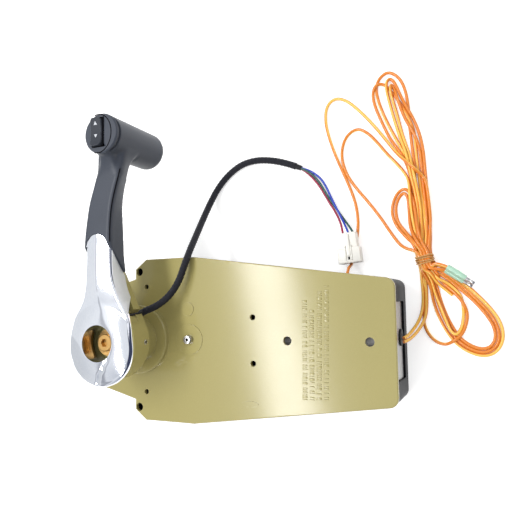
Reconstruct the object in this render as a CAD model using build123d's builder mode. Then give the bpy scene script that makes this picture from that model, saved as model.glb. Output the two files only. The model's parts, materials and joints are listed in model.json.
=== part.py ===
from build123d import *
import os
from math import acos, cos, degrees, pi, radians, sin, sqrt, tan

# Boat throttle control: a single lever on a mounting plate, with its gear module behind the plate, a trim
# switch in the handle's cap, a sleeved trim harness and a tied hank of neutral-switch leads.
# Millimetres. +Z is the plate's outward normal, +X runs along the plate, away from the hub, and +Y is up
# along the lever at neutral. The origin is on the lever's turning axis, on the back cover's back face.

# ---------------------------------------------------------------- general fits
FIT = 0.02                  # radial gap of a piece pressed or seated in its hole
RUN = 0.05                  # radial gap of a shaft turning in its bush
SLACK = 0.3                 # gap between pieces that move past each other

# ---------------------------------------------------------------- mounting plate and module box
MODULE_DEPTH = 42.0         # back face to the plate's underside
PLATE_T = 3.0
PLATE_TOP = MODULE_DEPTH + PLATE_T
PLATE_END_X = 212.0         # far end of the plate
PLATE_END_HALF_W = 44.0
PLATE_HALF_W = 66.3
SHOULDER_X = 51.5           # where the long taper starts
CHAMFER_X = 6.0
EAR_X = -4.6
EAR_OUTER_Y = 58.3
EAR_INNER_Y = 50.0
TONGUE_X = -50.0
TONGUE_HALF_W = 38.0
END_CORNER_R = 7.0
TONGUE_CORNER_R = 16.0
PLATE_EDGE_R = 1.0
COVER_INSET = 0.3           # back cover inside the plate's outline
COVER_T = 3.5
COVER_RIM_T = 1.7
COVER_RIM_H = 6.5
FRAME_INSET = COVER_INSET + COVER_RIM_T + 0.1
FRAME_WALL = 2.4
POST_X = 203.0              # corner posts of the back cover start here
POST_Y = 28.0

OUTLINE = [
    (TONGUE_X, -TONGUE_HALF_W), (EAR_X, -EAR_INNER_Y), (EAR_X, -EAR_OUTER_Y), (CHAMFER_X, -PLATE_HALF_W),
    (SHOULDER_X, -PLATE_HALF_W), (PLATE_END_X, -PLATE_END_HALF_W), (PLATE_END_X, PLATE_END_HALF_W),
    (SHOULDER_X, PLATE_HALF_W), (CHAMFER_X, PLATE_HALF_W), (EAR_X, EAR_OUTER_Y), (EAR_X, EAR_INNER_Y),
    (TONGUE_X, TONGUE_HALF_W),
]

# Bolts right through the module, one pair at the ears and one pair on the centre line.
BOLT_HOLE_R = 3.3
EAR_HOLE_X = -0.3
EAR_HOLE_Y = 56.0
EAR_POST_R = 5.2            # back cover's post round each ear hole
CENTRE_HOLES_X = (132.0, 193.5)
BEZEL_HOLE_R = 2.1
BEZEL_HOLE_X = 6.7
BEZEL_HOLE_Y = 43.2
TRIM_HOLE_R = 2.3
TRIM_HOLE_X = 104.0
TRIM_HOLE_Y = 17.5
SLEEVE_WALL = 1.6
EMBOSS_H = 0.6
PIVOT_PAD_R = 12.0
DIMPLE_AT = (46.6, 24.3)
DIMPLE_R = 5.5
LENS_AT = (101.0, -47.9)
LENS_HALF = (7.0, 2.2)

# ---------------------------------------------------------------- hub boss and shaft
BOSS_FLANGE_R = 28.3
BOSS_FLANGE_T = 4.0
BOSS_FLANGE_EDGE = 0.8
BARREL_R = 19.0
BARREL_H = 32.0             # barrel's top above the plate's face
SPIGOT_R = 14.0
SPIGOT_H = 4.0
BUSH_R = 11.0
UPPER_BUSH_L = 22.0
LOWER_BUSH_L = 5.5
SHAFT_R = 8.0
SHAFT_FOOT = 4.0            # shaft's lower end above the back face
CLIP_T = 1.2
CLIP_GROOVE = 0.9

# ---------------------------------------------------------------- gears and arms
GEAR_MODULE = 2.0
DRIVE_TEETH = 18
SHIFT_TEETH = 30
GEAR_T = 8.0
GEAR_Z = 22.0
PRESSURE_ANGLE = 20.0
BACKLASH = 0.30             # taken off each tooth's thickness at the pitch circle
SHIFT_X = GEAR_MODULE * (DRIVE_TEETH + SHIFT_TEETH) / 2
PIVOT_R = 3.5
PIVOT_PROUD = 3.2
PIVOT_COLLAR_R = 7.0
PIVOT_COLLAR_T = 3.0
PIVOT_FOOT = 18.0
SHIFT_BUSH_WALL = 2.0
ARM_T = 4.0
THROTTLE_Z = 12.0
THROTTLE_REACH = 34.0
SHIFT_REACH = 34.0
ARM_HUB_R = 13.0
ARM_TIP_R = 6.0
CABLE_PIN_R = 2.5
THROTTLE_PIN_L = 9.0
SHIFT_PIN_L = 9.5
CAM_R = 20.0
CAM_LOW_R = 17.5
CAM_LOBE_HALF_DEG = 12.0
DETENT_R = 16.0
DETENT_T = 4.0
DETENT_NOTCHES = 9
DETENT_PITCH_DEG = 15.0
DETENT_NOTCH_R = 1.6
DETENT_NOSE_R = 1.5
DETENT_LEAF_T = 0.8
DETENT_SPRING_HALF_L = 18.0
DETENT_POST_W = 5.0
CLIP_LIP = 2.5
PIN_EDGE = 0.6

# ---------------------------------------------------------------- neutral switch
SWITCH_W = 20.0
SWITCH_L = 18.0
SWITCH_H = 14.0
SWITCH_NOSE_Y = 40.0        # switch body's near face, measured from the pivot
PLUNGER_R = 1.7
PLUNGER_TRAVEL = 1.5
PLUNGER_IN = 12.0           # plunger's length inside the switch
SWITCH_SCREW_DX = 7.0
SWITCH_SCREW_BACK = 3.5     # switch screws from the switch's far face
SWITCH_SCREWS_AT = [
    (SHIFT_X + s * SWITCH_SCREW_DX, -(SWITCH_NOSE_Y + SWITCH_L - SWITCH_SCREW_BACK)) for s in (-1, 1)
]

# ---------------------------------------------------------------- lever
DRUM_REAR = PLATE_TOP + 28.0
DRUM_TOP = PLATE_TOP + 47.5
DRUM_R = 29.2
DRUM_TIP_R = 8.5
DRUM_TIP_Y = 48.5
BACKING_T = 8.0             # olive backing under the lever's arm
STEP_Y = 23.0               # where the drum's front face starts to fall to the backing
DRUM_FLOOR_T = 3.0
LEAD_GROOVE_DEG = 48.0
LEAD_GROOVE_W = 3.6
LEAD_GROOVE_D = 3.4
HUB_LEAD_R = 1.5
SLOT_DEG = -62.0
SLOT_W = 1.8
SLOT_L = 9.0
SLOT_D = 1.6
SLOT_DOWN = 2.5             # slot's near end below the drum's front face
SET_SCREW_R = 1.9
SET_SCREW_L = 8.0
SET_SCREW_UP = 4.5          # set screw's axis above the drum's rear face

CHROME_FRONT = PLATE_TOP + 52.5
CHROME_HALF_W = 29.6
CHROME_BOTTOM_Y = -32.8
CHROME_WAIST = (24.8, 22.4)
CHROME_NECK = (14.8, 44.3)
CHROME_ARM_HALF_W = 11.4
CHROME_EDGE_R = 3.4
CHROME_ARM_Y = 68.0         # where the chrome arm's sides turn straight
INNER_ARM_LOW_Y = 50.0      # lower end of the chrome arm's narrow stretch inside the handle
CROWN_H = 1.6
CROWN_BASE_R = 27.0
CROWN_TOP_R = 15.5
HUB_BORE_R = 13.8
HUB_SPIGOT_R = 17.0
HUB_FLOOR_T = 2.0
HUB_BOLT_R = 4.0
HUB_BOLT_L = 22.0
HUB_BOLT_HEAD_R = 6.6
HUB_BOLT_HEAD_H = 5.0
HUB_HEX_R = 3.4
HUB_HEX_D = 3.0
WASHER_R = 10.5
WASHER_T = 2.0
SPACER_WALL = 3.0

SKIRT_LOW_Y = 51.5          # lower end of the handle's side skirts, at the back
SKIRT_HIGH_Y = 74.6         # and at the front
ARCH_TOP_Y = 82.5
ARCH_X = -1.2
ARCH_HALF_W = 10.2
ARM_BACK = PLATE_TOP + 37.0
ARM_FRONT = PLATE_TOP + 54.0
ARM_WALL = 2.3
ARM_EDGE_R = 3.5
ARM_LEFT = [(-13.7, 71.0), (-13.0, 83.0), (-11.3, 95.0), (-9.0, 107.0), (-5.0, 119.5), (-1.6, 131.9)]
ARM_RIGHT = [(13.9, 56.0), (12.5, 68.0), (12.1, 82.0), (13.0, 97.0), (15.2, 109.5), (17.8, 118.5), (21.6, 129.6)]
TANG_FRONT = CHROME_FRONT - 1.0
TANG_BACK_PLAY = 1.5
TANG_ENDS = [(1.0, 84.0), (8.0, 121.0)]
TANG_R = 6.0
BACK_COVER_T = 2.0
BACK_COVER_TOP_Y = 137.0

GRIP_AT = (13.8, 155.2)
GRIP_REAR = PLATE_TOP + 3.0
GRIP_CAP_Z = PLATE_TOP + 67.0
GRIP_REAR_R = 14.8
GRIP_FRONT_R = 15.0
GRIP_END_R = 6.0
CAP_T = 1.5
CAP_EDGE = 0.9
PLUG_R = 13.9
PLUG_L = 18.5
GRIP_CAVITY_R = 11.0
GRIP_CAVITY_L = 22.0

ROCKER_AT = (12.3, 156.2)
ROCKER_W = 11.6
ROCKER_L = 21.4
ROCKER_GAP = 0.6
ROCKER_END_H = 3.0          # rocker's ends above the cap's face
ROCKER_MID_H = 1.5
ROCKER_PIVOT_DOWN = 2.5     # rocker's pin below the cap's face
ROCKER_FOOT_DOWN = 6.0
ROCKER_FOOT_HALF_L = 8.5
ROCKER_PIN_R = 1.0
POCKET_D = 8.0
CONTACT_W = 11.0
CONTACT_L = 18.0
CONTACT_H = 9.5
NUB_W = 3.0
WIRE_HOLE_R = 3.0
HANDLE_SCREWS_AT = [(3.0, 97.0), (6.4, 114.0)]
HANDLE_SCREW_BITE = 8.0
ROCKER_PIN_L = 16.0

# ---------------------------------------------------------------- fasteners
CASE_SCREW_R = 2.0
CASE_SCREW_HEAD_R = 3.6
CASE_SCREW_HEAD_H = 2.2
CASE_BOSS_R = 5.0
CASE_SCREW_BITE = 2.0
CASE_SCREWS_AT = [(22.0, 57.5), (22.0, -57.5), (112.0, 50.5), (112.0, -50.5), (190.0, 38.0), (190.0, -38.0)]
SMALL_SCREW_R = 1.5
SMALL_SCREW_BITE = 2.0
SMALL_HEAD_R = 2.9
SMALL_HEAD_H = 1.9
BOSS_SCREWS = 3
BOSS_SCREW_PCR = 21.5
SLOT_DRIVE_W = 0.8

# ---------------------------------------------------------------- cable bracket
BRACKET_X = 150.0
BRACKET_T = 3.0
BRACKET_FOOT_L = 22.0
BRACKET_W = 52.0
BRACKET_H = 36.0
CABLE_HOLE_R = 4.2
BRACKET_FOOT_W = 14.0
CABLE_Y = 15.0
CABLE_Z = (17.0, 30.0)
TRUNNION_R = 6.5
TRUNNION_L = 10.0
TRUNNION_BORE_R = 3.2
WINDOW_X = (158.0, 184.0)
WINDOW_HALF_W = 22.0

# ---------------------------------------------------------------- lead outlets
GROMMET_R = 5.0
GROMMET_LIP_R = 6.2
GROMMET_LIP_T = 1.4
END_GROMMET_Y = 1.8
END_GROMMET_Z = 19.0
LEAD_SPREAD = 1.4
SIDE_GROMMET_X = 171.5
SIDE_GROMMET_Z = 17.0

# ---------------------------------------------------------------- harness and leads
TRIM_SLEEVE_D = 5.5
TRIM_WIRE_D = 1.8
LEAD_D = 2.4
TRIM_SLEEVE_ROUTE = [
    (18.6, 21.6, 69.6), (21.8, 23.4, 69.0), (25.3, 24.8, 67.4), (29.6, 27.4, 63.5), (35.1, 32.5, 59.0),
    (40.3, 39.4, 56.0), (45.0, 48.5, 54.0), (48.4, 59.6, 52.4), (49.8, 70.8, 47.0), (48.6, 84.6, 34.4),
    (47.6, 101.0, 20.0), (48.9, 116.2, 9.5), (53.4, 129.1, 4.2), (62.5, 139.7, 3.2), (74.5, 147.6, 3.2),
    (87.3, 150.6, 3.2), (100.9, 149.7, 3.2), (116.6, 145.6, 3.2), (134.0, 137.6, 3.2),
]
WIRE_BLUE_ROUTE = [
    (135.2, 138.5, 3.4), (143.0, 134.3, 1.8), (149.6, 125.6, 1.2), (155.0, 113.4, 1.2), (160.8, 101.0, 2.6),
    (166.8, 91.0, 6.0), (171.2, 82.6, 8.0),
]
WIRE_RED_ROUTE = [
    (134.4, 135.2, 3.4), (141.2, 129.6, 1.8), (147.2, 120.8, 1.2), (152.6, 110.0, 1.2), (158.0, 98.6, 2.6),
    (163.0, 89.6, 6.0), (166.6, 82.0, 8.0),
]
WIRE_GREEN_ROUTE = [
    (136.8, 136.0, 4.4), (145.0, 130.0, 4.2), (152.0, 120.2, 3.6), (158.2, 108.4, 3.6), (164.8, 97.0, 5.2),
    (170.6, 90.0, 6.8), (174.8, 83.6, 8.0),
]
CONNECTOR_AT = (171.2, 70.0, 3.2)
CONNECTOR_TURN_DEG = 6.0
CONNECTOR_W = 18.0
CONNECTOR_L = 12.0
CONNECTOR_H = 9.0
CONNECTOR_REAR_W = 14.5
CONNECTOR_REAR_L = 12.0
CONNECTOR_REAR_H = 8.0
CONNECTOR_HOLE = (2.6, 2.2)
CONNECTOR_PITCH = 5.2

LEAD_A_ROUTE = [
    (213.6, 0.6, 19.0), (219.0, 1.6, 16.0), (223.4, 6.0, 9.4), (225.6, 13.0, 3.4), (228.2, 22.6, 1.3),
    (229.6, 33.8, 1.3), (229.8, 44.6, 1.6), (229.2, 53.8, 2.6),
]
LEAD_B_ROUTE = [
    (213.6, 3.4, 19.0), (218.0, 5.0, 15.4), (221.4, 9.8, 8.8), (223.2, 16.6, 3.2), (225.2, 25.0, 1.3),
    (226.8, 34.6, 1.3), (226.6, 44.6, 1.6), (226.0, 53.8, 2.6),
]
LEAD_C_ROUTE = [
    (171.6, 49.1, 17.0), (171.6, 52.6, 15.2), (171.6, 55.0, 10.6), (171.7, 56.6, 5.0), (172.2, 61.0, 1.4),
    (174.0, 69.4, 1.3), (176.4, 80.0, 1.3), (177.6, 92.0, 1.3), (175.8, 107.0, 1.3), (169.8, 124.0, 1.3), (162.6, 141.0, 1.3), (156.4, 158.0, 1.3),
    (152.4, 175.0, 1.3), (153.6, 188.4, 1.3), (161.0, 194.4, 1.3), (171.0, 190.8, 1.3), (182.0, 179.6, 1.3),
    (192.8, 166.2, 1.3), (201.9, 153.4, 1.3),
]
LEAD_C_LOOP_ROUTE = [
    (220.7, 60.8, 3.0), (210.6, 66.6, 1.6), (203.4, 79.0, 1.3), (195.0, 93.4, 1.6), (185.6, 106.6, 2.8),
    (175.6, 119.4, 4.1), (168.0, 131.6, 4.1), (164.8, 146.6, 3.0), (168.6, 160.4, 1.6), (178.6, 166.6, 1.3),
    (187.6, 160.8, 1.3), (195.0, 150.8, 1.3), (202.0, 140.6, 1.3), (208.0, 132.0, 1.3),
]
TIE_BOX = ((221.0, 54.2), (235.0, 63.0))
TIE_H = 10.0
HANK_UPPER_H = 7.0
HANK_LOWER_H = 5.0
HANK_UPPER_OUTLINE = [
    (228.2, 63.4), (224.4, 65.8), (222.2, 78.0), (219.6, 104.0), (213.8, 133.0), (203.0, 157.0), (196.0, 178.0), (194.8, 196.0),
    (203.0, 209.4), (214.6, 203.6), (221.4, 184.0), (223.6, 158.0), (229.6, 128.0), (232.8, 98.0),
    (233.4, 78.0), (232.0, 65.8),
]
HANK_UPPER_HOLES = [
    [(198.6, 195.0), (199.4, 182.0), (207.0, 162.0), (209.6, 166.0), (204.4, 184.0), (202.6, 197.0)],
    [(212.0, 194.0), (213.4, 176.0), (218.2, 158.0), (218.8, 172.0), (216.8, 188.0)],
]
SMALL_LOOP_AT = (211.5, 93.5)
SMALL_LOOP_HALF = (9.2, 21.0)
SMALL_LOOP_BAND = 4.6
HANK_LOWER_OUTLINE = [
    (233.4, 53.2), (245.6, 48.0), (259.6, 38.2), (271.6, 25.6), (279.6, 12.0), (279.8, -1.4), (270.6, -12.6),
    (257.6, -12.4), (246.4, -4.0), (238.2, 10.6), (234.0, 27.0), (232.8, 42.0),
]
HANK_LOWER_HOLE = [
    (241.2, 42.0), (254.0, 32.6), (265.8, 20.6), (273.4, 8.6), (272.8, -0.6), (266.6, -6.4), (258.6, -6.2),
    (250.6, 1.0), (243.6, 14.0), (238.6, 29.0),
]
BULLET_SLEEVE_R = 2.2
BULLET_SLEEVE_L = 15.0
BULLET_PIN_R = 1.5
BULLET_PIN_L = 7.0
BULLETS_AT = [(243.6, 52.2), (240.8, 48.2)]
BULLET_TURN_DEG = -35.0
BULLET_NOSE = 0.6            # share of the pin's radius that its nose is rounded by

BULLET_Z = HANK_LOWER_H + BULLET_SLEEVE_R + SLACK

# ---------------------------------------------------------------- places that follow from the sizes above
SHIFT_ARM_Z = GEAR_Z + GEAR_T
DETENT_Z = GEAR_Z + GEAR_T
DETENT_SPRING_Y = DETENT_R + SLACK + 2 * DETENT_NOSE_R
DETENT_POST_Y = DETENT_SPRING_Y + DETENT_LEAF_T
LOBE_REACH = CAM_R * 2 * tan(radians(CAM_LOBE_HALF_DEG))
BACKING_FRONT = DRUM_REAR + BACKING_T
DRUM_FLOOR_Z = BACKING_FRONT - DRUM_FLOOR_T
DRUM_BORE_R = BARREL_R + 2 * SLACK
STEP_LOW_Y = STEP_Y + DRUM_TOP - BACKING_FRONT
SHAFT_TOP = BACKING_FRONT - 0.1
CLIP_Z = COVER_T + LOWER_BUSH_L + SLACK
HUB_SEAT_Z = BACKING_FRONT + HUB_FLOOR_T
BOLT_SEAT_Z = HUB_SEAT_Z + WASHER_T
ARM_INSIDE = ARM_FRONT - ARM_WALL
ARCH_MIDDLE_Y = ARCH_TOP_Y - ARCH_HALF_W
SHELL_FRONT = GRIP_CAP_Z - CAP_T
ROCKER_AXIS_Z = GRIP_CAP_Z - ROCKER_PIVOT_DOWN
ROCKER_FOOT_Z = GRIP_CAP_Z - ROCKER_FOOT_DOWN
POCKET_Z = GRIP_CAP_Z - POCKET_D
END_WALL_X = PLATE_END_X - FRAME_INSET
SIDE_SLOPE = (PLATE_HALF_W - PLATE_END_HALF_W) / (PLATE_END_X - SHOULDER_X)
SIDE_LENGTH = sqrt(1 + SIDE_SLOPE ** 2)
SIDE_NORMAL = (SIDE_SLOPE / SIDE_LENGTH, 1 / SIDE_LENGTH, 0)
SIDE_EDGE_Y = PLATE_HALF_W - SIDE_SLOPE * (SIDE_GROMMET_X - SHOULDER_X)
SIDE_GROMMET_AT = (
    SIDE_GROMMET_X - SIDE_NORMAL[0] * FRAME_INSET, SIDE_EDGE_Y - SIDE_NORMAL[1] * FRAME_INSET, SIDE_GROMMET_Z,
)
SIDE_WALL_REACH = FRAME_WALL + GROMMET_LIP_T + SLACK

# ================================================================ shared shapes


def module_outline(inset):
    """Draw the plate's outline in the active sketch, moved in by inset."""
    Polygon(*OUTLINE, align=None)
    fillet(vertices().group_by(Axis.X)[-1], END_CORNER_R)
    fillet(vertices().group_by(Axis.X)[0], TONGUE_CORNER_R)
    if inset:
        offset(amount=-inset, mode=Mode.REPLACE)


def frame_outline():
    """Draw the frame's outside in the active sketch: it steps round the ear posts and the cover's corner posts."""
    module_outline(FRAME_INSET)
    with Locations(*[(EAR_HOLE_X, s * EAR_HOLE_Y) for s in (-1, 1)]):
        Circle(EAR_POST_R + SLACK, mode=Mode.SUBTRACT)
    with Locations((POST_X - SLACK, POST_Y - SLACK)):
        Rectangle(PLATE_HALF_W, PLATE_HALF_W, align=Align.MIN, mode=Mode.SUBTRACT)
    with Locations((POST_X - SLACK, SLACK - POST_Y)):
        Rectangle(PLATE_HALF_W, PLATE_HALF_W, align=(Align.MIN, Align.MAX), mode=Mode.SUBTRACT)


def turning_fit(radius):
    """Radius of a hole that a shaft of this radius turns in."""
    return radius + RUN


def seat(radius):
    """Radius of a hole that a piece of this radius is fixed in."""
    return radius + FIT


def gear_outline(teeth, turn_deg):
    """Draw an involute spur gear's outline in the active sketch, its first tooth at turn_deg."""
    pitch_r = GEAR_MODULE * teeth / 2
    tip_r = pitch_r + GEAR_MODULE * 0.95
    root_r = pitch_r - GEAR_MODULE * 1.25
    base_r = pitch_r * cos(radians(PRESSURE_ANGLE))
    involute_at = lambda r: tan(acos(base_r / r)) - acos(base_r / r)
    half_at_pitch = pi / (2 * teeth) - BACKLASH / (2 * pitch_r)

    def half_angle(r):
        return half_at_pitch + involute_at(pitch_r) - involute_at(r)

    start_r = max(base_r * 1.0001, root_r * 1.0001)
    radii = [start_r + (tip_r - start_r) * k / 4 for k in range(5)]
    points = []
    for tooth in range(teeth):
        middle = radians(turn_deg) + 2 * pi * tooth / teeth
        flank = [(r, half_angle(r)) for r in radii]
        rising = [(root_r, flank[0][1])] + flank
        for r, a in rising:
            points.append((r * cos(middle - a), r * sin(middle - a)))
        points.append((tip_r * cos(middle), tip_r * sin(middle)))
        for r, a in reversed(rising):
            points.append((r * cos(middle + a), r * sin(middle + a)))
    Polygon(*points, align=None)


def handle_outline(inset):
    """Return the handle arm's outline, from the skirts' ends up into the T-bar, its sides moved in by inset."""
    left = [(x + inset, y) for x, y in ARM_LEFT]
    right = [(x - inset, y) for x, y in ARM_RIGHT]
    with BuildSketch() as outline:
        with BuildLine():
            Spline(*left)
            Polyline(
                left[-1], (GRIP_AT[0] - GRIP_REAR_R + inset, GRIP_AT[1]),
                (GRIP_AT[0] + GRIP_REAR_R - inset, GRIP_AT[1]), right[-1],
            )
            Spline(*right)
            Polyline(right[0], (right[0][0], SKIRT_LOW_Y), (left[0][0], SKIRT_LOW_Y), left[0])
        make_face()
    return outline.sketch


def skirt_line():
    """Draw the side of the handle's skirt line that belongs to the chrome arm, as seen along +X."""
    slope = (SKIRT_HIGH_Y - SKIRT_LOW_Y) / (ARM_FRONT - BACKING_FRONT)
    margin = ARM_FRONT - BACKING_FRONT
    Polygon(
        (SKIRT_LOW_Y - margin * slope, BACKING_FRONT - margin), (SKIRT_HIGH_Y + margin * slope, ARM_FRONT + margin),
        (CHROME_BOTTOM_Y * 2, ARM_FRONT + margin), (CHROME_BOTTOM_Y * 2, BACKING_FRONT - margin), align=None,
    )


def cord_tube(name, route, diameter):
    """Return a cord's solid along its route of straight runs joined by the largest arcs that fit."""
    corners = [Vector(*p) for p in route]
    radii = []
    for before, corner, after in zip(corners, corners[1:], corners[2:]):
        arriving = corner - before
        leaving = after - corner
        half_turn = radians(arriving.get_angle(leaving)) / 2
        radii.append(0.45 * min(arriving.length, leaving.length) / tan(half_turn))
    with BuildPart() as tube:
        with BuildLine() as path:
            FilletPolyline(*route, radius=radii)
        with BuildSketch(Plane(origin=path.line @ 0, z_dir=path.line % 0)):
            Circle(diameter / 2)
        sweep()
    length = sum(edge.length for edge in path.edges())
    ratio = tube.part.volume / (length * pi * diameter ** 2 / 4)
    print(f"{name}: length {length:.0f} mm, radii {[round(r) for r in radii]}, volume ratio {ratio:.4f}")
    return tube.part


def save(part, name):
    """Label a finished piece and write its STEP file."""
    part.label = name
    export_step(part, f"parts/{name}.step")


os.makedirs("parts", exist_ok=True)

# ================================================================ plate, box and what is fixed to them

with BuildPart() as mounting_plate:
    with BuildSketch(Plane.XY.offset(MODULE_DEPTH)):
        module_outline(0)
    extrude(amount=PLATE_T)
    fillet(faces().sort_by(Axis.Z)[-1].edges(), PLATE_EDGE_R)
    with BuildSketch(Plane.XY.offset(PLATE_TOP)):
        with Locations((SHIFT_X, 0)):
            Circle(PIVOT_PAD_R)
        with Locations(DIMPLE_AT):
            Circle(DIMPLE_R)
        with Locations(LENS_AT):
            Ellipse(*LENS_HALF)
    extrude(amount=EMBOSS_H)
    with BuildSketch(Plane.XY.offset(MODULE_DEPTH)):
        with Locations(*[(EAR_HOLE_X, s * EAR_HOLE_Y) for s in (-1, 1)]):
            Circle(BOLT_HOLE_R)
        with Locations(*[(x, 0) for x in CENTRE_HOLES_X]):
            Circle(BOLT_HOLE_R)
        with Locations(*[(BEZEL_HOLE_X, s * BEZEL_HOLE_Y) for s in (-1, 1)]):
            Circle(BEZEL_HOLE_R)
        with Locations(*[(TRIM_HOLE_X, s * TRIM_HOLE_Y) for s in (-1, 1)]):
            Circle(TRIM_HOLE_R)
        Circle(seat(SPIGOT_R))
        with Locations((SHIFT_X, 0)):
            Circle(seat(PIVOT_R))
        with PolarLocations(BOSS_SCREW_PCR, BOSS_SCREWS, start_angle=90):
            Circle(seat(SMALL_SCREW_R))
    extrude(amount=PLATE_T + EMBOSS_H, mode=Mode.SUBTRACT)
    with BuildSketch(Plane.XY.offset(MODULE_DEPTH)):
        with Locations(*CASE_SCREWS_AT):
            Circle(seat(CASE_SCREW_R))
        with Locations(*SWITCH_SCREWS_AT):
            Circle(seat(SMALL_SCREW_R))
    extrude(amount=CASE_SCREW_BITE + SLACK, mode=Mode.SUBTRACT)
save(mounting_plate.part, "mounting_plate")

with BuildPart() as hub_boss:
    with BuildSketch(Plane.XY.offset(PLATE_TOP)):
        Circle(BOSS_FLANGE_R)
    extrude(amount=BOSS_FLANGE_T)
    chamfer(edges().group_by(Axis.Z)[-1], BOSS_FLANGE_EDGE)
    with BuildSketch(Plane.XY.offset(PLATE_TOP)):
        Circle(BARREL_R)
    extrude(amount=BARREL_H)
    with BuildSketch(Plane.XY.offset(PLATE_TOP)):
        Circle(SPIGOT_R)
    extrude(amount=-(PLATE_T + SPIGOT_H))
    with Locations((0, 0, PLATE_TOP)):
        Hole(seat(BUSH_R))
    with BuildSketch(Plane.XY.offset(PLATE_TOP)):
        with PolarLocations(BOSS_SCREW_PCR, BOSS_SCREWS, start_angle=90):
            Circle(seat(SMALL_SCREW_R))
    extrude(amount=BOSS_FLANGE_T - EMBOSS_H, mode=Mode.SUBTRACT)
save(hub_boss.part, "hub_boss")

with BuildPart() as boss_screws:
    with BuildSketch(Plane.XY.offset(MODULE_DEPTH)):
        with PolarLocations(BOSS_SCREW_PCR, BOSS_SCREWS, start_angle=90):
            Circle(SMALL_HEAD_R)
    extrude(amount=-SMALL_HEAD_H)
    with BuildSketch(Plane.XY.offset(MODULE_DEPTH)):
        with PolarLocations(BOSS_SCREW_PCR, BOSS_SCREWS, start_angle=90):
            Circle(SMALL_SCREW_R)
    extrude(amount=PLATE_T + BOSS_FLANGE_T - EMBOSS_H - SLACK)
    with BuildSketch(Plane.XY.offset(MODULE_DEPTH - SMALL_HEAD_H)):
        with PolarLocations(BOSS_SCREW_PCR, BOSS_SCREWS, start_angle=90):
            Rectangle(SMALL_HEAD_R * 3, SLOT_DRIVE_W)
    extrude(amount=SMALL_HEAD_H / 2, mode=Mode.SUBTRACT)
save(boss_screws.part, "boss_screws")

with BuildPart() as upper_bushing:
    with BuildSketch(Plane.XY.offset(PLATE_TOP + BARREL_H)):
        Circle(BUSH_R)
        Circle(turning_fit(SHAFT_R), mode=Mode.SUBTRACT)
    extrude(amount=-UPPER_BUSH_L)
save(upper_bushing.part, "upper_bushing")

with BuildPart() as module_frame:
    with BuildSketch(Plane.XY.offset(COVER_T)):
        frame_outline()
    extrude(amount=MODULE_DEPTH - COVER_T)
    with BuildSketch(Plane.XY.offset(COVER_T)):
        frame_outline()
        offset(amount=-FRAME_WALL, mode=Mode.REPLACE)
    extrude(amount=MODULE_DEPTH - COVER_T, mode=Mode.SUBTRACT)
    with BuildSketch(Plane.XY.offset(COVER_T)):
        with Locations(*CASE_SCREWS_AT):
            Circle(CASE_BOSS_R)
            Circle(seat(CASE_SCREW_R), mode=Mode.SUBTRACT)
    extrude(amount=MODULE_DEPTH - COVER_T)
    with BuildSketch(Plane.YZ.offset(END_WALL_X)):
        with Locations((END_GROMMET_Y, END_GROMMET_Z)):
            Circle(seat(GROMMET_R))
    extrude(amount=-FRAME_WALL, mode=Mode.SUBTRACT)
    with BuildSketch(Plane(origin=SIDE_GROMMET_AT, z_dir=SIDE_NORMAL)):
        Circle(seat(GROMMET_R))
    extrude(amount=-FRAME_WALL, mode=Mode.SUBTRACT)
save(module_frame.part, "module_frame")

with BuildPart() as back_cover:
    with BuildSketch():
        module_outline(COVER_INSET)
    extrude(amount=COVER_T + COVER_RIM_H)
    with BuildSketch(Plane.XY.offset(COVER_T)):
        module_outline(COVER_INSET + COVER_RIM_T)
    extrude(amount=COVER_RIM_H, mode=Mode.SUBTRACT)
    with BuildSketch(Plane.XY.offset(COVER_T)):
        module_outline(COVER_INSET)
        with Locations((POST_X, POST_Y)):
            Rectangle(PLATE_HALF_W, PLATE_HALF_W, align=Align.MIN, mode=Mode.INTERSECT)
    extrude(amount=MODULE_DEPTH - COVER_T)
    with BuildSketch(Plane.XY.offset(COVER_T)):
        module_outline(COVER_INSET)
        with Locations((POST_X, -POST_Y)):
            Rectangle(PLATE_HALF_W, PLATE_HALF_W, align=(Align.MIN, Align.MAX), mode=Mode.INTERSECT)
    extrude(amount=MODULE_DEPTH - COVER_T)
    with BuildSketch():
        with Locations(*[(EAR_HOLE_X, s * EAR_HOLE_Y) for s in (-1, 1)]):
            Circle(EAR_POST_R)
    extrude(amount=MODULE_DEPTH)
    with BuildSketch():
        with Locations(*[(EAR_HOLE_X, s * EAR_HOLE_Y) for s in (-1, 1)]):
            Circle(BOLT_HOLE_R)
    extrude(amount=MODULE_DEPTH, mode=Mode.SUBTRACT)
    with BuildSketch(Plane.XY.offset(COVER_T)):
        Circle(BUSH_R + COVER_T)
        Circle(seat(BUSH_R), mode=Mode.SUBTRACT)
    extrude(amount=LOWER_BUSH_L)
    with BuildSketch():
        with Locations(*CASE_SCREWS_AT):
            Circle(seat(CASE_SCREW_R))
        with Locations(*[(x, 0) for x in CENTRE_HOLES_X]):
            Circle(BOLT_HOLE_R)
        with Locations((sum(WINDOW_X) / 2, 0)):
            RectangleRounded(WINDOW_X[1] - WINDOW_X[0], 2 * WINDOW_HALF_W, CASE_BOSS_R)
    extrude(amount=COVER_T + COVER_RIM_H, mode=Mode.SUBTRACT)
    with BuildSketch():
        with Locations(*CASE_SCREWS_AT):
            Circle(CASE_SCREW_HEAD_R + SLACK)
    extrude(amount=CASE_SCREW_HEAD_H, mode=Mode.SUBTRACT)
save(back_cover.part, "back_cover")

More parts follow.
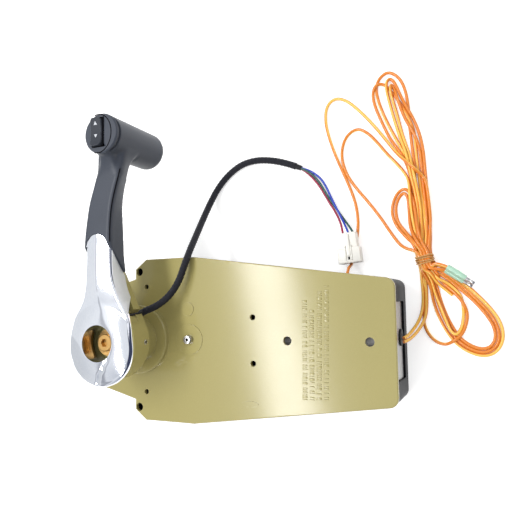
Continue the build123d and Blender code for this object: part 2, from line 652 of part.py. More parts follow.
with BuildPart() as case_screws:
    with BuildSketch():
        with Locations(*CASE_SCREWS_AT):
            Circle(CASE_SCREW_HEAD_R)
    extrude(amount=CASE_SCREW_HEAD_H)
    with BuildSketch():
        with Locations(*CASE_SCREWS_AT):
            Circle(CASE_SCREW_R)
    extrude(amount=MODULE_DEPTH + CASE_SCREW_BITE)
    with BuildSketch():
        with Locations(*CASE_SCREWS_AT):
            Rectangle(CASE_SCREW_HEAD_R * 3, SLOT_DRIVE_W)
            Rectangle(SLOT_DRIVE_W, CASE_SCREW_HEAD_R * 3)
    extrude(amount=CASE_SCREW_HEAD_H / 2, mode=Mode.SUBTRACT)
save(case_screws.part, "case_screws")

with BuildPart() as bolt_sleeves:
    with BuildSketch(Plane.XY.offset(COVER_T)):
        with Locations(*[(x, 0) for x in CENTRE_HOLES_X]):
            Circle(BOLT_HOLE_R + SLEEVE_WALL)
            Circle(BOLT_HOLE_R, mode=Mode.SUBTRACT)
    extrude(amount=MODULE_DEPTH - COVER_T)
save(bolt_sleeves.part, "bolt_sleeves")

with BuildPart() as lower_bushing:
    with BuildSketch(Plane.XY.offset(COVER_T)):
        Circle(BUSH_R)
        Circle(turning_fit(SHAFT_R), mode=Mode.SUBTRACT)
    extrude(amount=LOWER_BUSH_L)
save(lower_bushing.part, "lower_bushing")

with BuildPart() as shift_pivot_pin:
    with BuildSketch(Plane.XY.offset(PIVOT_FOOT)):
        with Locations((SHIFT_X, 0)):
            Circle(PIVOT_R)
    extrude(amount=PLATE_TOP + EMBOSS_H + PIVOT_PROUD - PIVOT_FOOT)
    chamfer(edges().group_by(Axis.Z)[-1], PIN_EDGE)
    with BuildSketch(Plane.XY.offset(MODULE_DEPTH)):
        with Locations((SHIFT_X, 0)):
            Circle(PIVOT_COLLAR_R)
    extrude(amount=-PIVOT_COLLAR_T)
    with BuildSketch(Plane.XY.offset(PIVOT_FOOT + CLIP_T)):
        with Locations((SHIFT_X, 0)):
            Circle(PIVOT_R)
            Circle(PIVOT_R - CLIP_GROOVE, mode=Mode.SUBTRACT)
    extrude(amount=CLIP_T, mode=Mode.SUBTRACT)
save(shift_pivot_pin.part, "shift_pivot_pin")

with BuildPart() as shift_pin_clip:
    with BuildSketch(Plane.XY.offset(PIVOT_FOOT + CLIP_T)):
        with Locations((SHIFT_X, 0)):
            Circle(PIVOT_R + CLIP_LIP)
            Circle(PIVOT_R - CLIP_GROOVE + FIT, mode=Mode.SUBTRACT)
            Rectangle(PIVOT_R * 2, PIVOT_R, align=(Align.MIN, Align.CENTER), mode=Mode.SUBTRACT)
    extrude(amount=CLIP_T - FIT)
save(shift_pin_clip.part, "shift_pin_clip")

with BuildPart() as neutral_switch:
    with BuildSketch(Plane.XY.offset(MODULE_DEPTH)):
        with Locations((SHIFT_X, -SWITCH_NOSE_Y)):
            Rectangle(SWITCH_W, SWITCH_L, align=(Align.CENTER, Align.MAX))
        with Locations(*SWITCH_SCREWS_AT):
            Circle(seat(SMALL_SCREW_R), mode=Mode.SUBTRACT)
    extrude(amount=-SWITCH_H)
    with BuildSketch(Plane.XZ.offset(SWITCH_NOSE_Y)):
        with Locations((SHIFT_X, SHIFT_ARM_Z + ARM_T / 2)):
            Circle(turning_fit(PLUNGER_R))
    extrude(amount=PLUNGER_IN + PLUNGER_TRAVEL + SLACK, mode=Mode.SUBTRACT)
save(neutral_switch.part, "neutral_switch")

with BuildPart() as switch_screws:
    with BuildSketch(Plane.XY.offset(MODULE_DEPTH - SWITCH_H)):
        with Locations(*SWITCH_SCREWS_AT):
            Circle(SMALL_HEAD_R)
    extrude(amount=-SMALL_HEAD_H)
    with BuildSketch(Plane.XY.offset(MODULE_DEPTH - SWITCH_H)):
        with Locations(*SWITCH_SCREWS_AT):
            Circle(SMALL_SCREW_R)
    extrude(amount=SWITCH_H + SMALL_SCREW_BITE)
save(switch_screws.part, "switch_screws")

with BuildPart() as switch_plunger:
    with BuildSketch(Plane.XZ.offset(CAM_R + SLACK)):
        with Locations((SHIFT_X, SHIFT_ARM_Z + ARM_T / 2)):
            Circle(PLUNGER_R)
    extrude(amount=SWITCH_NOSE_Y - CAM_R - SLACK + PLUNGER_IN)
    fillet(edges().sort_by(Axis.Y)[-1], PLUNGER_R * 0.6)
save(switch_plunger.part, "switch_plunger")

with BuildPart() as detent_spring:
    with BuildSketch(Plane.XY.offset(DETENT_Z)):
        with BuildLine():
            Polyline(
                (-DETENT_SPRING_HALF_L, DETENT_SPRING_Y), (-DETENT_NOSE_R * 2, DETENT_SPRING_Y),
                (0, DETENT_SPRING_Y - DETENT_NOSE_R * 2), (DETENT_NOSE_R * 2, DETENT_SPRING_Y),
                (DETENT_SPRING_HALF_L, DETENT_SPRING_Y),
            )
            offset(amount=DETENT_LEAF_T, side=Side.LEFT, kind=Kind.INTERSECTION)
        make_face()
    extrude(amount=DETENT_T)
save(detent_spring.part, "detent_spring")

with BuildPart() as detent_posts:
    with BuildSketch(Plane.XY.offset(MODULE_DEPTH)):
        with Locations(*[(s * (DETENT_SPRING_HALF_L - DETENT_POST_W / 2), DETENT_POST_Y) for s in (-1, 1)]):
            Rectangle(DETENT_POST_W, DETENT_POST_W, align=(Align.CENTER, Align.MIN))
    extrude(amount=DETENT_Z - MODULE_DEPTH)
save(detent_posts.part, "detent_posts")

with BuildPart() as cable_bracket:
    with BuildSketch(Plane.YZ.offset(BRACKET_X)):
        with Locations((0, COVER_T)):
            Rectangle(BRACKET_W, BRACKET_H, align=(Align.CENTER, Align.MIN))
        with Locations((-CABLE_Y, CABLE_Z[0]), (CABLE_Y, CABLE_Z[1])):
            Circle(CABLE_HOLE_R, mode=Mode.SUBTRACT)
    extrude(amount=-BRACKET_T)
    with BuildSketch(Plane.XY.offset(COVER_T)):
        with Locations((BRACKET_X, BRACKET_W / 2), (BRACKET_X, -BRACKET_W / 2)):
            Rectangle(BRACKET_FOOT_L, BRACKET_FOOT_W, align=(Align.MAX, Align.CENTER))
    extrude(amount=BRACKET_T)
    with BuildSketch(Plane.XY.offset(COVER_T)):
        with Locations(*[(BRACKET_X - BRACKET_FOOT_L / 2, s * BRACKET_W / 2) for s in (-1, 1)]):
            Circle(seat(SMALL_SCREW_R))
    extrude(amount=BRACKET_T, mode=Mode.SUBTRACT)
save(cable_bracket.part, "cable_bracket")

with BuildPart() as bracket_screws:
    with BuildSketch(Plane.XY.offset(COVER_T + BRACKET_T)):
        with Locations(*[(BRACKET_X - BRACKET_FOOT_L / 2, s * BRACKET_W / 2) for s in (-1, 1)]):
            Circle(SMALL_HEAD_R)
    extrude(amount=SMALL_HEAD_H)
    with BuildSketch(Plane.XY.offset(COVER_T + BRACKET_T)):
        with Locations(*[(BRACKET_X - BRACKET_FOOT_L / 2, s * BRACKET_W / 2) for s in (-1, 1)]):
            Circle(SMALL_SCREW_R)
    extrude(amount=-BRACKET_T)
    with BuildSketch(Plane.XY.offset(COVER_T + BRACKET_T + SMALL_HEAD_H)):
        with Locations(*[(BRACKET_X - BRACKET_FOOT_L / 2, s * BRACKET_W / 2) for s in (-1, 1)]):
            Rectangle(SMALL_HEAD_R * 3, SLOT_DRIVE_W)
    extrude(amount=-SMALL_HEAD_H / 2, mode=Mode.SUBTRACT)
save(bracket_screws.part, "bracket_screws")

with BuildPart() as cable_trunnions:
    with BuildSketch(Plane.YZ.offset(BRACKET_X)):
        with Locations((-CABLE_Y, CABLE_Z[0]), (CABLE_Y, CABLE_Z[1])):
            Circle(TRUNNION_R)
            Circle(TRUNNION_BORE_R, mode=Mode.SUBTRACT)
    extrude(amount=TRUNNION_L)
    with BuildSketch(Plane.YZ.offset(BRACKET_X)):
        with Locations((-CABLE_Y, CABLE_Z[0]), (CABLE_Y, CABLE_Z[1])):
            Circle(CABLE_HOLE_R - FIT)
            Circle(TRUNNION_BORE_R, mode=Mode.SUBTRACT)
    extrude(amount=-BRACKET_T)
save(cable_trunnions.part, "cable_trunnions")

with BuildPart() as end_grommet:
    with BuildSketch(Plane.YZ.offset(END_WALL_X - FRAME_WALL)):
        with Locations((END_GROMMET_Y, END_GROMMET_Z)):
            Circle(GROMMET_R)
    extrude(amount=FRAME_WALL)
    with BuildSketch(Plane.YZ.offset(END_WALL_X)):
        with Locations((END_GROMMET_Y, END_GROMMET_Z)):
            Circle(GROMMET_LIP_R)
    extrude(amount=GROMMET_LIP_T)
    with BuildSketch(Plane.YZ.offset(END_WALL_X + GROMMET_LIP_T)):
        with Locations((END_GROMMET_Y - LEAD_SPREAD, END_GROMMET_Z), (END_GROMMET_Y + LEAD_SPREAD, END_GROMMET_Z)):
            Circle(seat(LEAD_D / 2))
    extrude(amount=-(GROMMET_LIP_T + FRAME_WALL), mode=Mode.SUBTRACT)
save(end_grommet.part, "end_grommet")

with BuildPart() as side_grommet:
    with BuildSketch(Plane(origin=SIDE_GROMMET_AT, z_dir=SIDE_NORMAL)):
        Circle(GROMMET_R)
    extrude(amount=-FRAME_WALL)
    with BuildSketch(Plane(origin=SIDE_GROMMET_AT, z_dir=SIDE_NORMAL)):
        Circle(GROMMET_LIP_R)
    extrude(amount=GROMMET_LIP_T)
    with BuildSketch(Plane(origin=SIDE_GROMMET_AT, z_dir=SIDE_NORMAL)):
        Circle(seat(LEAD_D / 2))
    extrude(amount=SIDE_WALL_REACH, both=True, mode=Mode.SUBTRACT)
save(side_grommet.part, "side_grommet")

# ================================================================ shift gear's body

with BuildPart() as shift_gear:
    with BuildSketch(Plane.XY.offset(GEAR_Z)) as shift_gear_flat:
        gear_outline(SHIFT_TEETH, 180 + 180 / SHIFT_TEETH)
        Circle(PIVOT_R + SHIFT_BUSH_WALL + FIT, mode=Mode.SUBTRACT)
    extrude(amount=GEAR_T)
shift_gear.part.position = (SHIFT_X, 0, 0)
save(shift_gear.part, "shift_gear")

with BuildPart() as shift_gear_bush:
    with BuildSketch(Plane.XY.offset(GEAR_Z)):
        with Locations((SHIFT_X, 0)):
            Circle(PIVOT_R + SHIFT_BUSH_WALL)
            Circle(turning_fit(PIVOT_R), mode=Mode.SUBTRACT)
    extrude(amount=SHIFT_ARM_Z + ARM_T - GEAR_Z)
save(shift_gear_bush.part, "shift_gear_bush")

with BuildPart() as shift_arm:
    with BuildSketch(Plane.XY.offset(SHIFT_ARM_Z)):
        with Locations((SHIFT_X, 0)):
            Circle(ARM_HUB_R)
        with Locations((SHIFT_X + SHIFT_REACH, 0)):
            Circle(ARM_TIP_R)
        make_hull()
        with Locations((SHIFT_X, 0)):
            Circle(CAM_LOW_R)
            Circle(PIVOT_R + SHIFT_BUSH_WALL + FIT, mode=Mode.SUBTRACT)
        with Locations((SHIFT_X + SHIFT_REACH, 0)):
            Circle(seat(CABLE_PIN_R), mode=Mode.SUBTRACT)
    extrude(amount=ARM_T)
    with BuildSketch(Plane.XY.offset(SHIFT_ARM_Z)):
        with Locations((SHIFT_X, 0)):
            Circle(CAM_R)
            Circle(CAM_LOW_R - SLACK, mode=Mode.SUBTRACT)
            Polygon((0, 0), (-LOBE_REACH, -CAM_R * 2), (LOBE_REACH, -CAM_R * 2), align=None, mode=Mode.INTERSECT)
    extrude(amount=ARM_T)
save(shift_arm.part, "shift_arm")

with BuildPart() as shift_cable_pin:
    with BuildSketch(Plane.XY.offset(SHIFT_ARM_Z)):
        with Locations((SHIFT_X + SHIFT_REACH, 0)):
            Circle(CABLE_PIN_R)
    extrude(amount=SHIFT_PIN_L)
    chamfer(edges().group_by(Axis.Z)[-1], PIN_EDGE)
save(shift_cable_pin.part, "shift_cable_pin")

# ================================================================ lever's body

with BuildPart() as control_shaft:
    with BuildSketch(Plane.XY.offset(SHAFT_FOOT)):
        Circle(SHAFT_R)
    extrude(amount=SHAFT_TOP - SHAFT_FOOT)
    with BuildSketch(Plane.XY.offset(CLIP_Z)):
        Circle(SHAFT_R)
        Circle(SHAFT_R - CLIP_GROOVE, mode=Mode.SUBTRACT)
    extrude(amount=CLIP_T, mode=Mode.SUBTRACT)
    with BuildSketch(Plane.XY.offset(SHAFT_TOP)):
        Circle(seat(HUB_BOLT_R))
    extrude(amount=-(HUB_BOLT_L - BOLT_SEAT_Z + SHAFT_TOP + SLACK), mode=Mode.SUBTRACT)
save(control_shaft.part, "control_shaft")

with BuildPart() as shaft_clip:
    with BuildSketch(Plane.XY.offset(CLIP_Z)):
        Circle(SHAFT_R + CLIP_LIP)
        Circle(SHAFT_R - CLIP_GROOVE + FIT, mode=Mode.SUBTRACT)
        Rectangle(SHAFT_R * 2, SHAFT_R, align=(Align.MIN, Align.CENTER), mode=Mode.SUBTRACT)
    extrude(amount=CLIP_T - FIT)
save(shaft_clip.part, "shaft_clip")

with BuildPart() as shaft_spacers:
    with BuildSketch(Plane.XY.offset(THROTTLE_Z + ARM_T)):
        Circle(SHAFT_R + SPACER_WALL)
        Circle(seat(SHAFT_R), mode=Mode.SUBTRACT)
    extrude(amount=GEAR_Z - THROTTLE_Z - ARM_T)
    with BuildSketch(Plane.XY.offset(DETENT_Z + DETENT_T)):
        Circle(SHAFT_R + SPACER_WALL)
        Circle(seat(SHAFT_R), mode=Mode.SUBTRACT)
    extrude(amount=MODULE_DEPTH - SPIGOT_H - SLACK - DETENT_Z - DETENT_T)
    with BuildSketch(Plane.XY.offset(CLIP_Z + CLIP_T)):
        Circle(SHAFT_R + SPACER_WALL)
        Circle(seat(SHAFT_R), mode=Mode.SUBTRACT)
    extrude(amount=THROTTLE_Z - CLIP_Z - CLIP_T)
save(shaft_spacers.part, "shaft_spacers")

with BuildPart() as throttle_arm:
    with BuildSketch(Plane.XY.offset(THROTTLE_Z)):
        Circle(ARM_HUB_R)
        with Locations((THROTTLE_REACH, 0)):
            Circle(ARM_TIP_R)
        make_hull()
        Circle(seat(SHAFT_R), mode=Mode.SUBTRACT)
        with Locations((THROTTLE_REACH, 0)):
            Circle(seat(CABLE_PIN_R), mode=Mode.SUBTRACT)
    extrude(amount=ARM_T)
save(throttle_arm.part, "throttle_arm")

with BuildPart() as throttle_cable_pin:
    with BuildSketch(Plane.XY.offset(THROTTLE_Z)):
        with Locations((THROTTLE_REACH, 0)):
            Circle(CABLE_PIN_R)
    extrude(amount=THROTTLE_PIN_L)
    chamfer(edges().group_by(Axis.Z)[-1], PIN_EDGE)
save(throttle_cable_pin.part, "throttle_cable_pin")

with BuildPart() as drive_gear:
    with BuildSketch(Plane.XY.offset(GEAR_Z)):
        gear_outline(DRIVE_TEETH, 0)
        Circle(seat(SHAFT_R), mode=Mode.SUBTRACT)
    extrude(amount=GEAR_T)
save(drive_gear.part, "drive_gear")

with BuildPart() as detent_disc:
    with BuildSketch(Plane.XY.offset(DETENT_Z)):
        Circle(DETENT_R)
        Circle(seat(SHAFT_R), mode=Mode.SUBTRACT)
        with PolarLocations(
            DETENT_R, DETENT_NOTCHES, start_angle=90 - DETENT_PITCH_DEG * (DETENT_NOTCHES - 1) / 2,
            angular_range=DETENT_PITCH_DEG * DETENT_NOTCHES,
        ):
            Circle(DETENT_NOTCH_R, mode=Mode.SUBTRACT)
    extrude(amount=DETENT_T)
save(detent_disc.part, "detent_disc")

with BuildPart() as hub_drum:
    with BuildSketch(Plane.XY.offset(DRUM_REAR)):
        Circle(DRUM_R)
        with Locations((0, DRUM_TIP_Y)):
            Circle(DRUM_TIP_R)
        make_hull()
    extrude(amount=BACKING_T)
    with BuildSketch(Plane.XY.offset(BACKING_FRONT)):
        Circle(DRUM_R)
    extrude(amount=DRUM_TOP - BACKING_FRONT)
    with BuildSketch(Plane.YZ):
        Polygon(
            (STEP_Y, DRUM_TOP), (STEP_LOW_Y, BACKING_FRONT), (STEP_LOW_Y, DRUM_TOP), align=None,
        )
    extrude(amount=DRUM_R, both=True, mode=Mode.SUBTRACT)
    with BuildSketch(Plane.XY.offset(DRUM_REAR)):
        Circle(DRUM_BORE_R)
    extrude(amount=DRUM_FLOOR_Z - DRUM_REAR, mode=Mode.SUBTRACT)
    with BuildSketch(Plane.XY.offset(DRUM_FLOOR_Z)):
        Circle(seat(SHAFT_R))
    extrude(amount=DRUM_FLOOR_T, mode=Mode.SUBTRACT)
    with BuildSketch(Plane.XY.offset(BACKING_FRONT)):
        Circle(seat(HUB_SPIGOT_R))
    extrude(amount=DRUM_TOP - BACKING_FRONT, mode=Mode.SUBTRACT)
    with BuildSketch(Plane.XY.offset(DRUM_REAR)):
        with PolarLocations(DRUM_R, 1, start_angle=LEAD_GROOVE_DEG):
            Rectangle(2 * LEAD_GROOVE_D, LEAD_GROOVE_W)
    extrude(amount=DRUM_TOP - DRUM_REAR, mode=Mode.SUBTRACT)
    with BuildSketch(Plane.XY.offset(DRUM_TOP - SLOT_DOWN)):
        with PolarLocations(DRUM_R, 1, start_angle=SLOT_DEG):
            Rectangle(2 * SLOT_D, SLOT_W)
    extrude(amount=-SLOT_L, mode=Mode.SUBTRACT)
    with BuildSketch(Plane.YZ):
        with Locations((0, DRUM_REAR + SET_SCREW_UP)):
            Circle(seat(SET_SCREW_R))
    extrude(amount=DRUM_R, mode=Mode.SUBTRACT)
save(hub_drum.part, "hub_drum")

with BuildPart() as drum_set_screw:
    with BuildSketch(Plane.YZ.offset(DRUM_R - SLACK)):
        with Locations((0, DRUM_REAR + SET_SCREW_UP)):
            Circle(SET_SCREW_R)
    extrude(amount=-SET_SCREW_L)
    with BuildSketch(Plane.YZ.offset(DRUM_R - SLACK)):
        with Locations((0, DRUM_REAR + SET_SCREW_UP)):
            RegularPolygon(SET_SCREW_R / 2, 6)
    extrude(amount=-SET_SCREW_R, mode=Mode.SUBTRACT)
save(drum_set_screw.part, "drum_set_screw")

with BuildPart() as chrome_lever:
    with BuildSketch(Plane.XY.offset(BACKING_FRONT)):
        with BuildLine():
            head = ThreePointArc((-CHROME_HALF_W, 0), (0, CHROME_BOTTOM_Y), (CHROME_HALF_W, 0))
            side = Spline(
                (CHROME_HALF_W, 0), CHROME_WAIST, CHROME_NECK, (CHROME_ARM_HALF_W, CHROME_ARM_Y),
                tangents=(head % 1, (0, 1)),
            )
            mirror(side, about=Plane.YZ)
            Polyline(
                (CHROME_ARM_HALF_W, CHROME_ARM_Y), (CHROME_ARM_HALF_W, ARCH_TOP_Y),
                (-CHROME_ARM_HALF_W, ARCH_TOP_Y), (-CHROME_ARM_HALF_W, CHROME_ARM_Y),
            )
        make_face()
    extrude(amount=CHROME_FRONT - BACKING_FRONT)
    fillet(faces().sort_by(Axis.Z)[-1].edges(), CHROME_EDGE_R)
    with BuildSketch(Plane.YZ):
        Polygon(
            (2 * CHROME_BOTTOM_Y, BACKING_FRONT), (2 * CHROME_BOTTOM_Y, DRUM_TOP), (STEP_Y, DRUM_TOP),
            (STEP_LOW_Y, BACKING_FRONT), align=None,
        )
    extrude(amount=2 * CHROME_HALF_W, both=True, mode=Mode.SUBTRACT)
    with BuildSketch(Plane.YZ):
        skirt_line()
    extrude(amount=2 * CHROME_HALF_W, both=True, mode=Mode.INTERSECT)
    with BuildSketch(Plane.XY.offset(ARM_BACK + BACK_COVER_T)):
        with Locations((ARCH_X, ARCH_MIDDLE_Y)):
            Circle(ARCH_HALF_W - FIT)
            Rectangle(2 * (ARCH_HALF_W - FIT), ARCH_MIDDLE_Y - INNER_ARM_LOW_Y, align=(Align.CENTER, Align.MAX))
    extrude(amount=TANG_FRONT - ARM_BACK - BACK_COVER_T)
    with BuildSketch(Plane.XY.offset(ARM_BACK + BACK_COVER_T)):
        with Locations(*TANG_ENDS):
            Circle(TANG_R)
        make_hull()
    extrude(amount=TANG_FRONT - TANG_BACK_PLAY - ARM_BACK - BACK_COVER_T)
    with BuildSketch(Plane.XY.offset(BACKING_FRONT)):
        Circle(HUB_SPIGOT_R)
    extrude(amount=DRUM_TOP - BACKING_FRONT)
    with Locations((0, 0, CHROME_FRONT)):
        Cone(CROWN_BASE_R, CROWN_TOP_R, CROWN_H, align=(Align.CENTER, Align.CENTER, Align.MIN))
    with BuildSketch(Plane.XY.offset(HUB_SEAT_Z)):
        Circle(HUB_BORE_R)
    extrude(amount=CHROME_FRONT + CROWN_H - HUB_SEAT_Z, mode=Mode.SUBTRACT)
    with BuildSketch(Plane.XY.offset(BACKING_FRONT)):
        Circle(seat(HUB_BOLT_R))
    extrude(amount=HUB_FLOOR_T, mode=Mode.SUBTRACT)
    with BuildSketch(Plane.XY.offset(ARM_BACK + BACK_COVER_T)):
        with Locations(*HANDLE_SCREWS_AT):
            Circle(seat(SMALL_SCREW_R))
    extrude(amount=HANDLE_SCREW_BITE + SLACK, mode=Mode.SUBTRACT)
save(chrome_lever.part, "chrome_lever")

with BuildPart() as hub_washer:
    with BuildSketch(Plane.XY.offset(HUB_SEAT_Z)):
        Circle(WASHER_R)
        Circle(seat(HUB_BOLT_R), mode=Mode.SUBTRACT)
    extrude(amount=WASHER_T)
save(hub_washer.part, "hub_washer")

with BuildPart() as hub_bolt:
    with BuildSketch(Plane.XY.offset(BOLT_SEAT_Z)):
        Circle(HUB_BOLT_HEAD_R)
    extrude(amount=HUB_BOLT_HEAD_H)
    chamfer(edges().group_by(Axis.Z)[-1], PIN_EDGE)
    with BuildSketch(Plane.XY.offset(BOLT_SEAT_Z + HUB_BOLT_HEAD_H)):
        RegularPolygon(HUB_HEX_R, 6)
    extrude(amount=-HUB_HEX_D, mode=Mode.SUBTRACT)
    with BuildSketch(Plane.XY.offset(BOLT_SEAT_Z)):
        Circle(HUB_BOLT_R)
    extrude(amount=-HUB_BOLT_L)
save(hub_bolt.part, "hub_bolt")

with BuildPart() as harness_lead:
    with BuildSketch(Plane.XY.offset(DRUM_REAR + SLACK)):
        with PolarLocations(DRUM_R - HUB_LEAD_R, 1, start_angle=LEAD_GROOVE_DEG):
            Circle(HUB_LEAD_R)
    extrude(amount=DRUM_TOP - DRUM_REAR - SLACK)
save(harness_lead.part, "harness_lead")

with BuildPart() as handle_shell:
    with BuildSketch(Plane.XY.offset(ARM_BACK)):
        add(handle_outline(0))
    extrude(amount=ARM_FRONT - ARM_BACK)
    fillet(faces().sort_by(Axis.Z)[-1].edges(), ARM_EDGE_R)
    with BuildSketch(Plane.YZ):
        skirt_line()
    extrude(amount=2 * CHROME_HALF_W, both=True, mode=Mode.SUBTRACT)
    with BuildSketch(Plane.XY.offset(ARM_BACK)):
        add(handle_outline(ARM_WALL))
        with Locations((0, BACK_COVER_TOP_Y)):
            Rectangle(4 * CHROME_HALF_W, GRIP_AT[1], align=(Align.CENTER, Align.MIN), mode=Mode.SUBTRACT)
    extrude(amount=ARM_INSIDE - ARM_BACK, mode=Mode.SUBTRACT)
    with BuildSketch(Plane.XY.offset(ARM_BACK + BACK_COVER_T)):
        with Locations((ARCH_X, ARCH_MIDDLE_Y)):
            Circle(ARCH_HALF_W)
            Rectangle(2 * ARCH_HALF_W, ARCH_TOP_Y, align=(Align.CENTER, Align.MAX))
    extrude(amount=ARM_FRONT - ARM_BACK, mode=Mode.SUBTRACT)
    with BuildSketch(Plane.XY.offset(GRIP_REAR)):
        with Locations(GRIP_AT):
            Circle(GRIP_REAR_R)
    with BuildSketch(Plane.XY.offset(SHELL_FRONT)):
        with Locations(GRIP_AT):
            Circle(GRIP_FRONT_R)
    loft()
    fillet(edges().group_by(Axis.Z)[0], GRIP_END_R)
    with BuildSketch(Plane.XY.offset(SHELL_FRONT)):
        with Locations(GRIP_AT):
            Circle(PLUG_R)
    extrude(amount=-PLUG_L, mode=Mode.SUBTRACT)
    with BuildSketch(Plane.XY.offset(SHELL_FRONT - PLUG_L)):
        with Locations(GRIP_AT):
            Circle(GRIP_CAVITY_R)
    extrude(amount=-GRIP_CAVITY_L, mode=Mode.SUBTRACT)
    with BuildSketch(Plane.XZ.offset(-BACK_COVER_TOP_Y)):
        with Locations((GRIP_AT[0] - WIRE_HOLE_R, ARM_BACK + 2 * WIRE_HOLE_R)):
            Circle(WIRE_HOLE_R)
    extrude(amount=-(GRIP_AT[1] - BACK_COVER_TOP_Y), mode=Mode.SUBTRACT)
save(handle_shell.part, "handle_shell")

with BuildPart() as handle_back_cover:
    with BuildSketch(Plane.XY.offset(ARM_BACK)):
        add(handle_outline(ARM_WALL + FIT))
        with Locations((0, BACK_COVER_TOP_Y - FIT)):
            Rectangle(4 * CHROME_HALF_W, GRIP_AT[1], align=(Align.CENTER, Align.MIN), mode=Mode.SUBTRACT)
        with Locations(*HANDLE_SCREWS_AT):
            Circle(seat(SMALL_SCREW_R), mode=Mode.SUBTRACT)
    extrude(amount=BACK_COVER_T)
    with BuildSketch(Plane.YZ):
        skirt_line()
    extrude(amount=2 * CHROME_HALF_W, both=True, mode=Mode.SUBTRACT)
save(handle_back_cover.part, "handle_back_cover")

with BuildPart() as handle_screws:
    with BuildSketch(Plane.XY.offset(ARM_BACK)):
        with Locations(*HANDLE_SCREWS_AT):
            Circle(SMALL_HEAD_R)
    extrude(amount=-SMALL_HEAD_H)
    with BuildSketch(Plane.XY.offset(ARM_BACK)):
        with Locations(*HANDLE_SCREWS_AT):
            Circle(SMALL_SCREW_R)
    extrude(amount=BACK_COVER_T + HANDLE_SCREW_BITE)
    with BuildSketch(Plane.XY.offset(ARM_BACK - SMALL_HEAD_H)):
        with Locations(*HANDLE_SCREWS_AT):
            Rectangle(3 * SMALL_HEAD_R, SLOT_DRIVE_W)
    extrude(amount=SMALL_HEAD_H / 2, mode=Mode.SUBTRACT)
save(handle_screws.part, "handle_screws")

with BuildPart() as switch_housing:
    with BuildSketch(Plane.XY.offset(SHELL_FRONT)):
        with Locations(GRIP_AT):
            Circle(GRIP_FRONT_R)
    extrude(amount=CAP_T)
    chamfer(edges().group_by(Axis.Z)[-1], CAP_EDGE)
    with BuildSketch(Plane.XY.offset(SHELL_FRONT)):
        with Locations(GRIP_AT):
            Circle(PLUG_R - FIT)
    extrude(amount=-(PLUG_L - FIT))
    with BuildSketch(Plane.XY.offset(POCKET_Z)):
        with Locations(ROCKER_AT):
            Rectangle(ROCKER_W + 2 * ROCKER_GAP, ROCKER_L + 2 * ROCKER_GAP)
    extrude(amount=POCKET_D, mode=Mode.SUBTRACT)
    with BuildSketch(Plane.XY.offset(POCKET_Z)):
        with Locations(ROCKER_AT):
            Rectangle(CONTACT_W, CONTACT_L)
    extrude(amount=-(CONTACT_H + FIT), mode=Mode.SUBTRACT)
    with BuildSketch(Plane.YZ.offset(ROCKER_AT[0])):
        with Locations((ROCKER_AT[1], ROCKER_AXIS_Z)):
            Circle(seat(ROCKER_PIN_R))
    extrude(amount=ROCKER_PIN_L / 2, both=True, mode=Mode.SUBTRACT)
save(switch_housing.part, "switch_housing")

with BuildPart() as switch_contact_block:
    with BuildSketch(Plane.XY.offset(POCKET_Z - CONTACT_H)):
        with Locations(ROCKER_AT):
            Rectangle(CONTACT_W - 2 * FIT, CONTACT_L - 2 * FIT)
    extrude(amount=CONTACT_H)
    with BuildSketch(Plane.XY.offset(POCKET_Z)):
        with Locations(ROCKER_AT):
            Rectangle(NUB_W, NUB_W)
    extrude(amount=ROCKER_FOOT_Z - SLACK - POCKET_Z)
save(switch_contact_block.part, "switch_contact_block")

with BuildPart() as rocker_pin:
    with BuildSketch(Plane.YZ.offset(ROCKER_AT[0])):
        with Locations((ROCKER_AT[1], ROCKER_AXIS_Z)):
            Circle(ROCKER_PIN_R)
    extrude(amount=ROCKER_PIN_L / 2, both=True)
save(rocker_pin.part, "rocker_pin")

# ================================================================ trim rocker's body

with BuildPart() as trim_rocker:
    with BuildSketch(Plane.YZ.offset(ROCKER_AT[0])):
        with BuildLine():
            ThreePointArc(
                (ROCKER_AT[1] - ROCKER_L / 2, GRIP_CAP_Z + ROCKER_END_H),
                (ROCKER_AT[1], GRIP_CAP_Z + ROCKER_MID_H),
                (ROCKER_AT[1] + ROCKER_L / 2, GRIP_CAP_Z + ROCKER_END_H),
            )
            Polyline(
                (ROCKER_AT[1] + ROCKER_L / 2, GRIP_CAP_Z + ROCKER_END_H),
                (ROCKER_AT[1] + ROCKER_L / 2, GRIP_CAP_Z),
                (ROCKER_AT[1] + ROCKER_FOOT_HALF_L, ROCKER_FOOT_Z),
                (ROCKER_AT[1] - ROCKER_FOOT_HALF_L, ROCKER_FOOT_Z),
                (ROCKER_AT[1] - ROCKER_L / 2, GRIP_CAP_Z),
                (ROCKER_AT[1] - ROCKER_L / 2, GRIP_CAP_Z + ROCKER_END_H),
            )
        make_face()
        with Locations((ROCKER_AT[1], ROCKER_AXIS_Z)):
            Circle(turning_fit(ROCKER_PIN_R), mode=Mode.SUBTRACT)
    extrude(amount=ROCKER_W / 2, both=True)
save(trim_rocker.part, "trim_rocker")

# ================================================================ trim harness

save(cord_tube("trim_sleeve", TRIM_SLEEVE_ROUTE, TRIM_SLEEVE_D), "trim_sleeve")
save(cord_tube("trim_wire_blue", WIRE_BLUE_ROUTE, TRIM_WIRE_D), "trim_wire_blue")
save(cord_tube("trim_wire_red", WIRE_RED_ROUTE, TRIM_WIRE_D), "trim_wire_red")
save(cord_tube("trim_wire_green", WIRE_GREEN_ROUTE, TRIM_WIRE_D), "trim_wire_green")

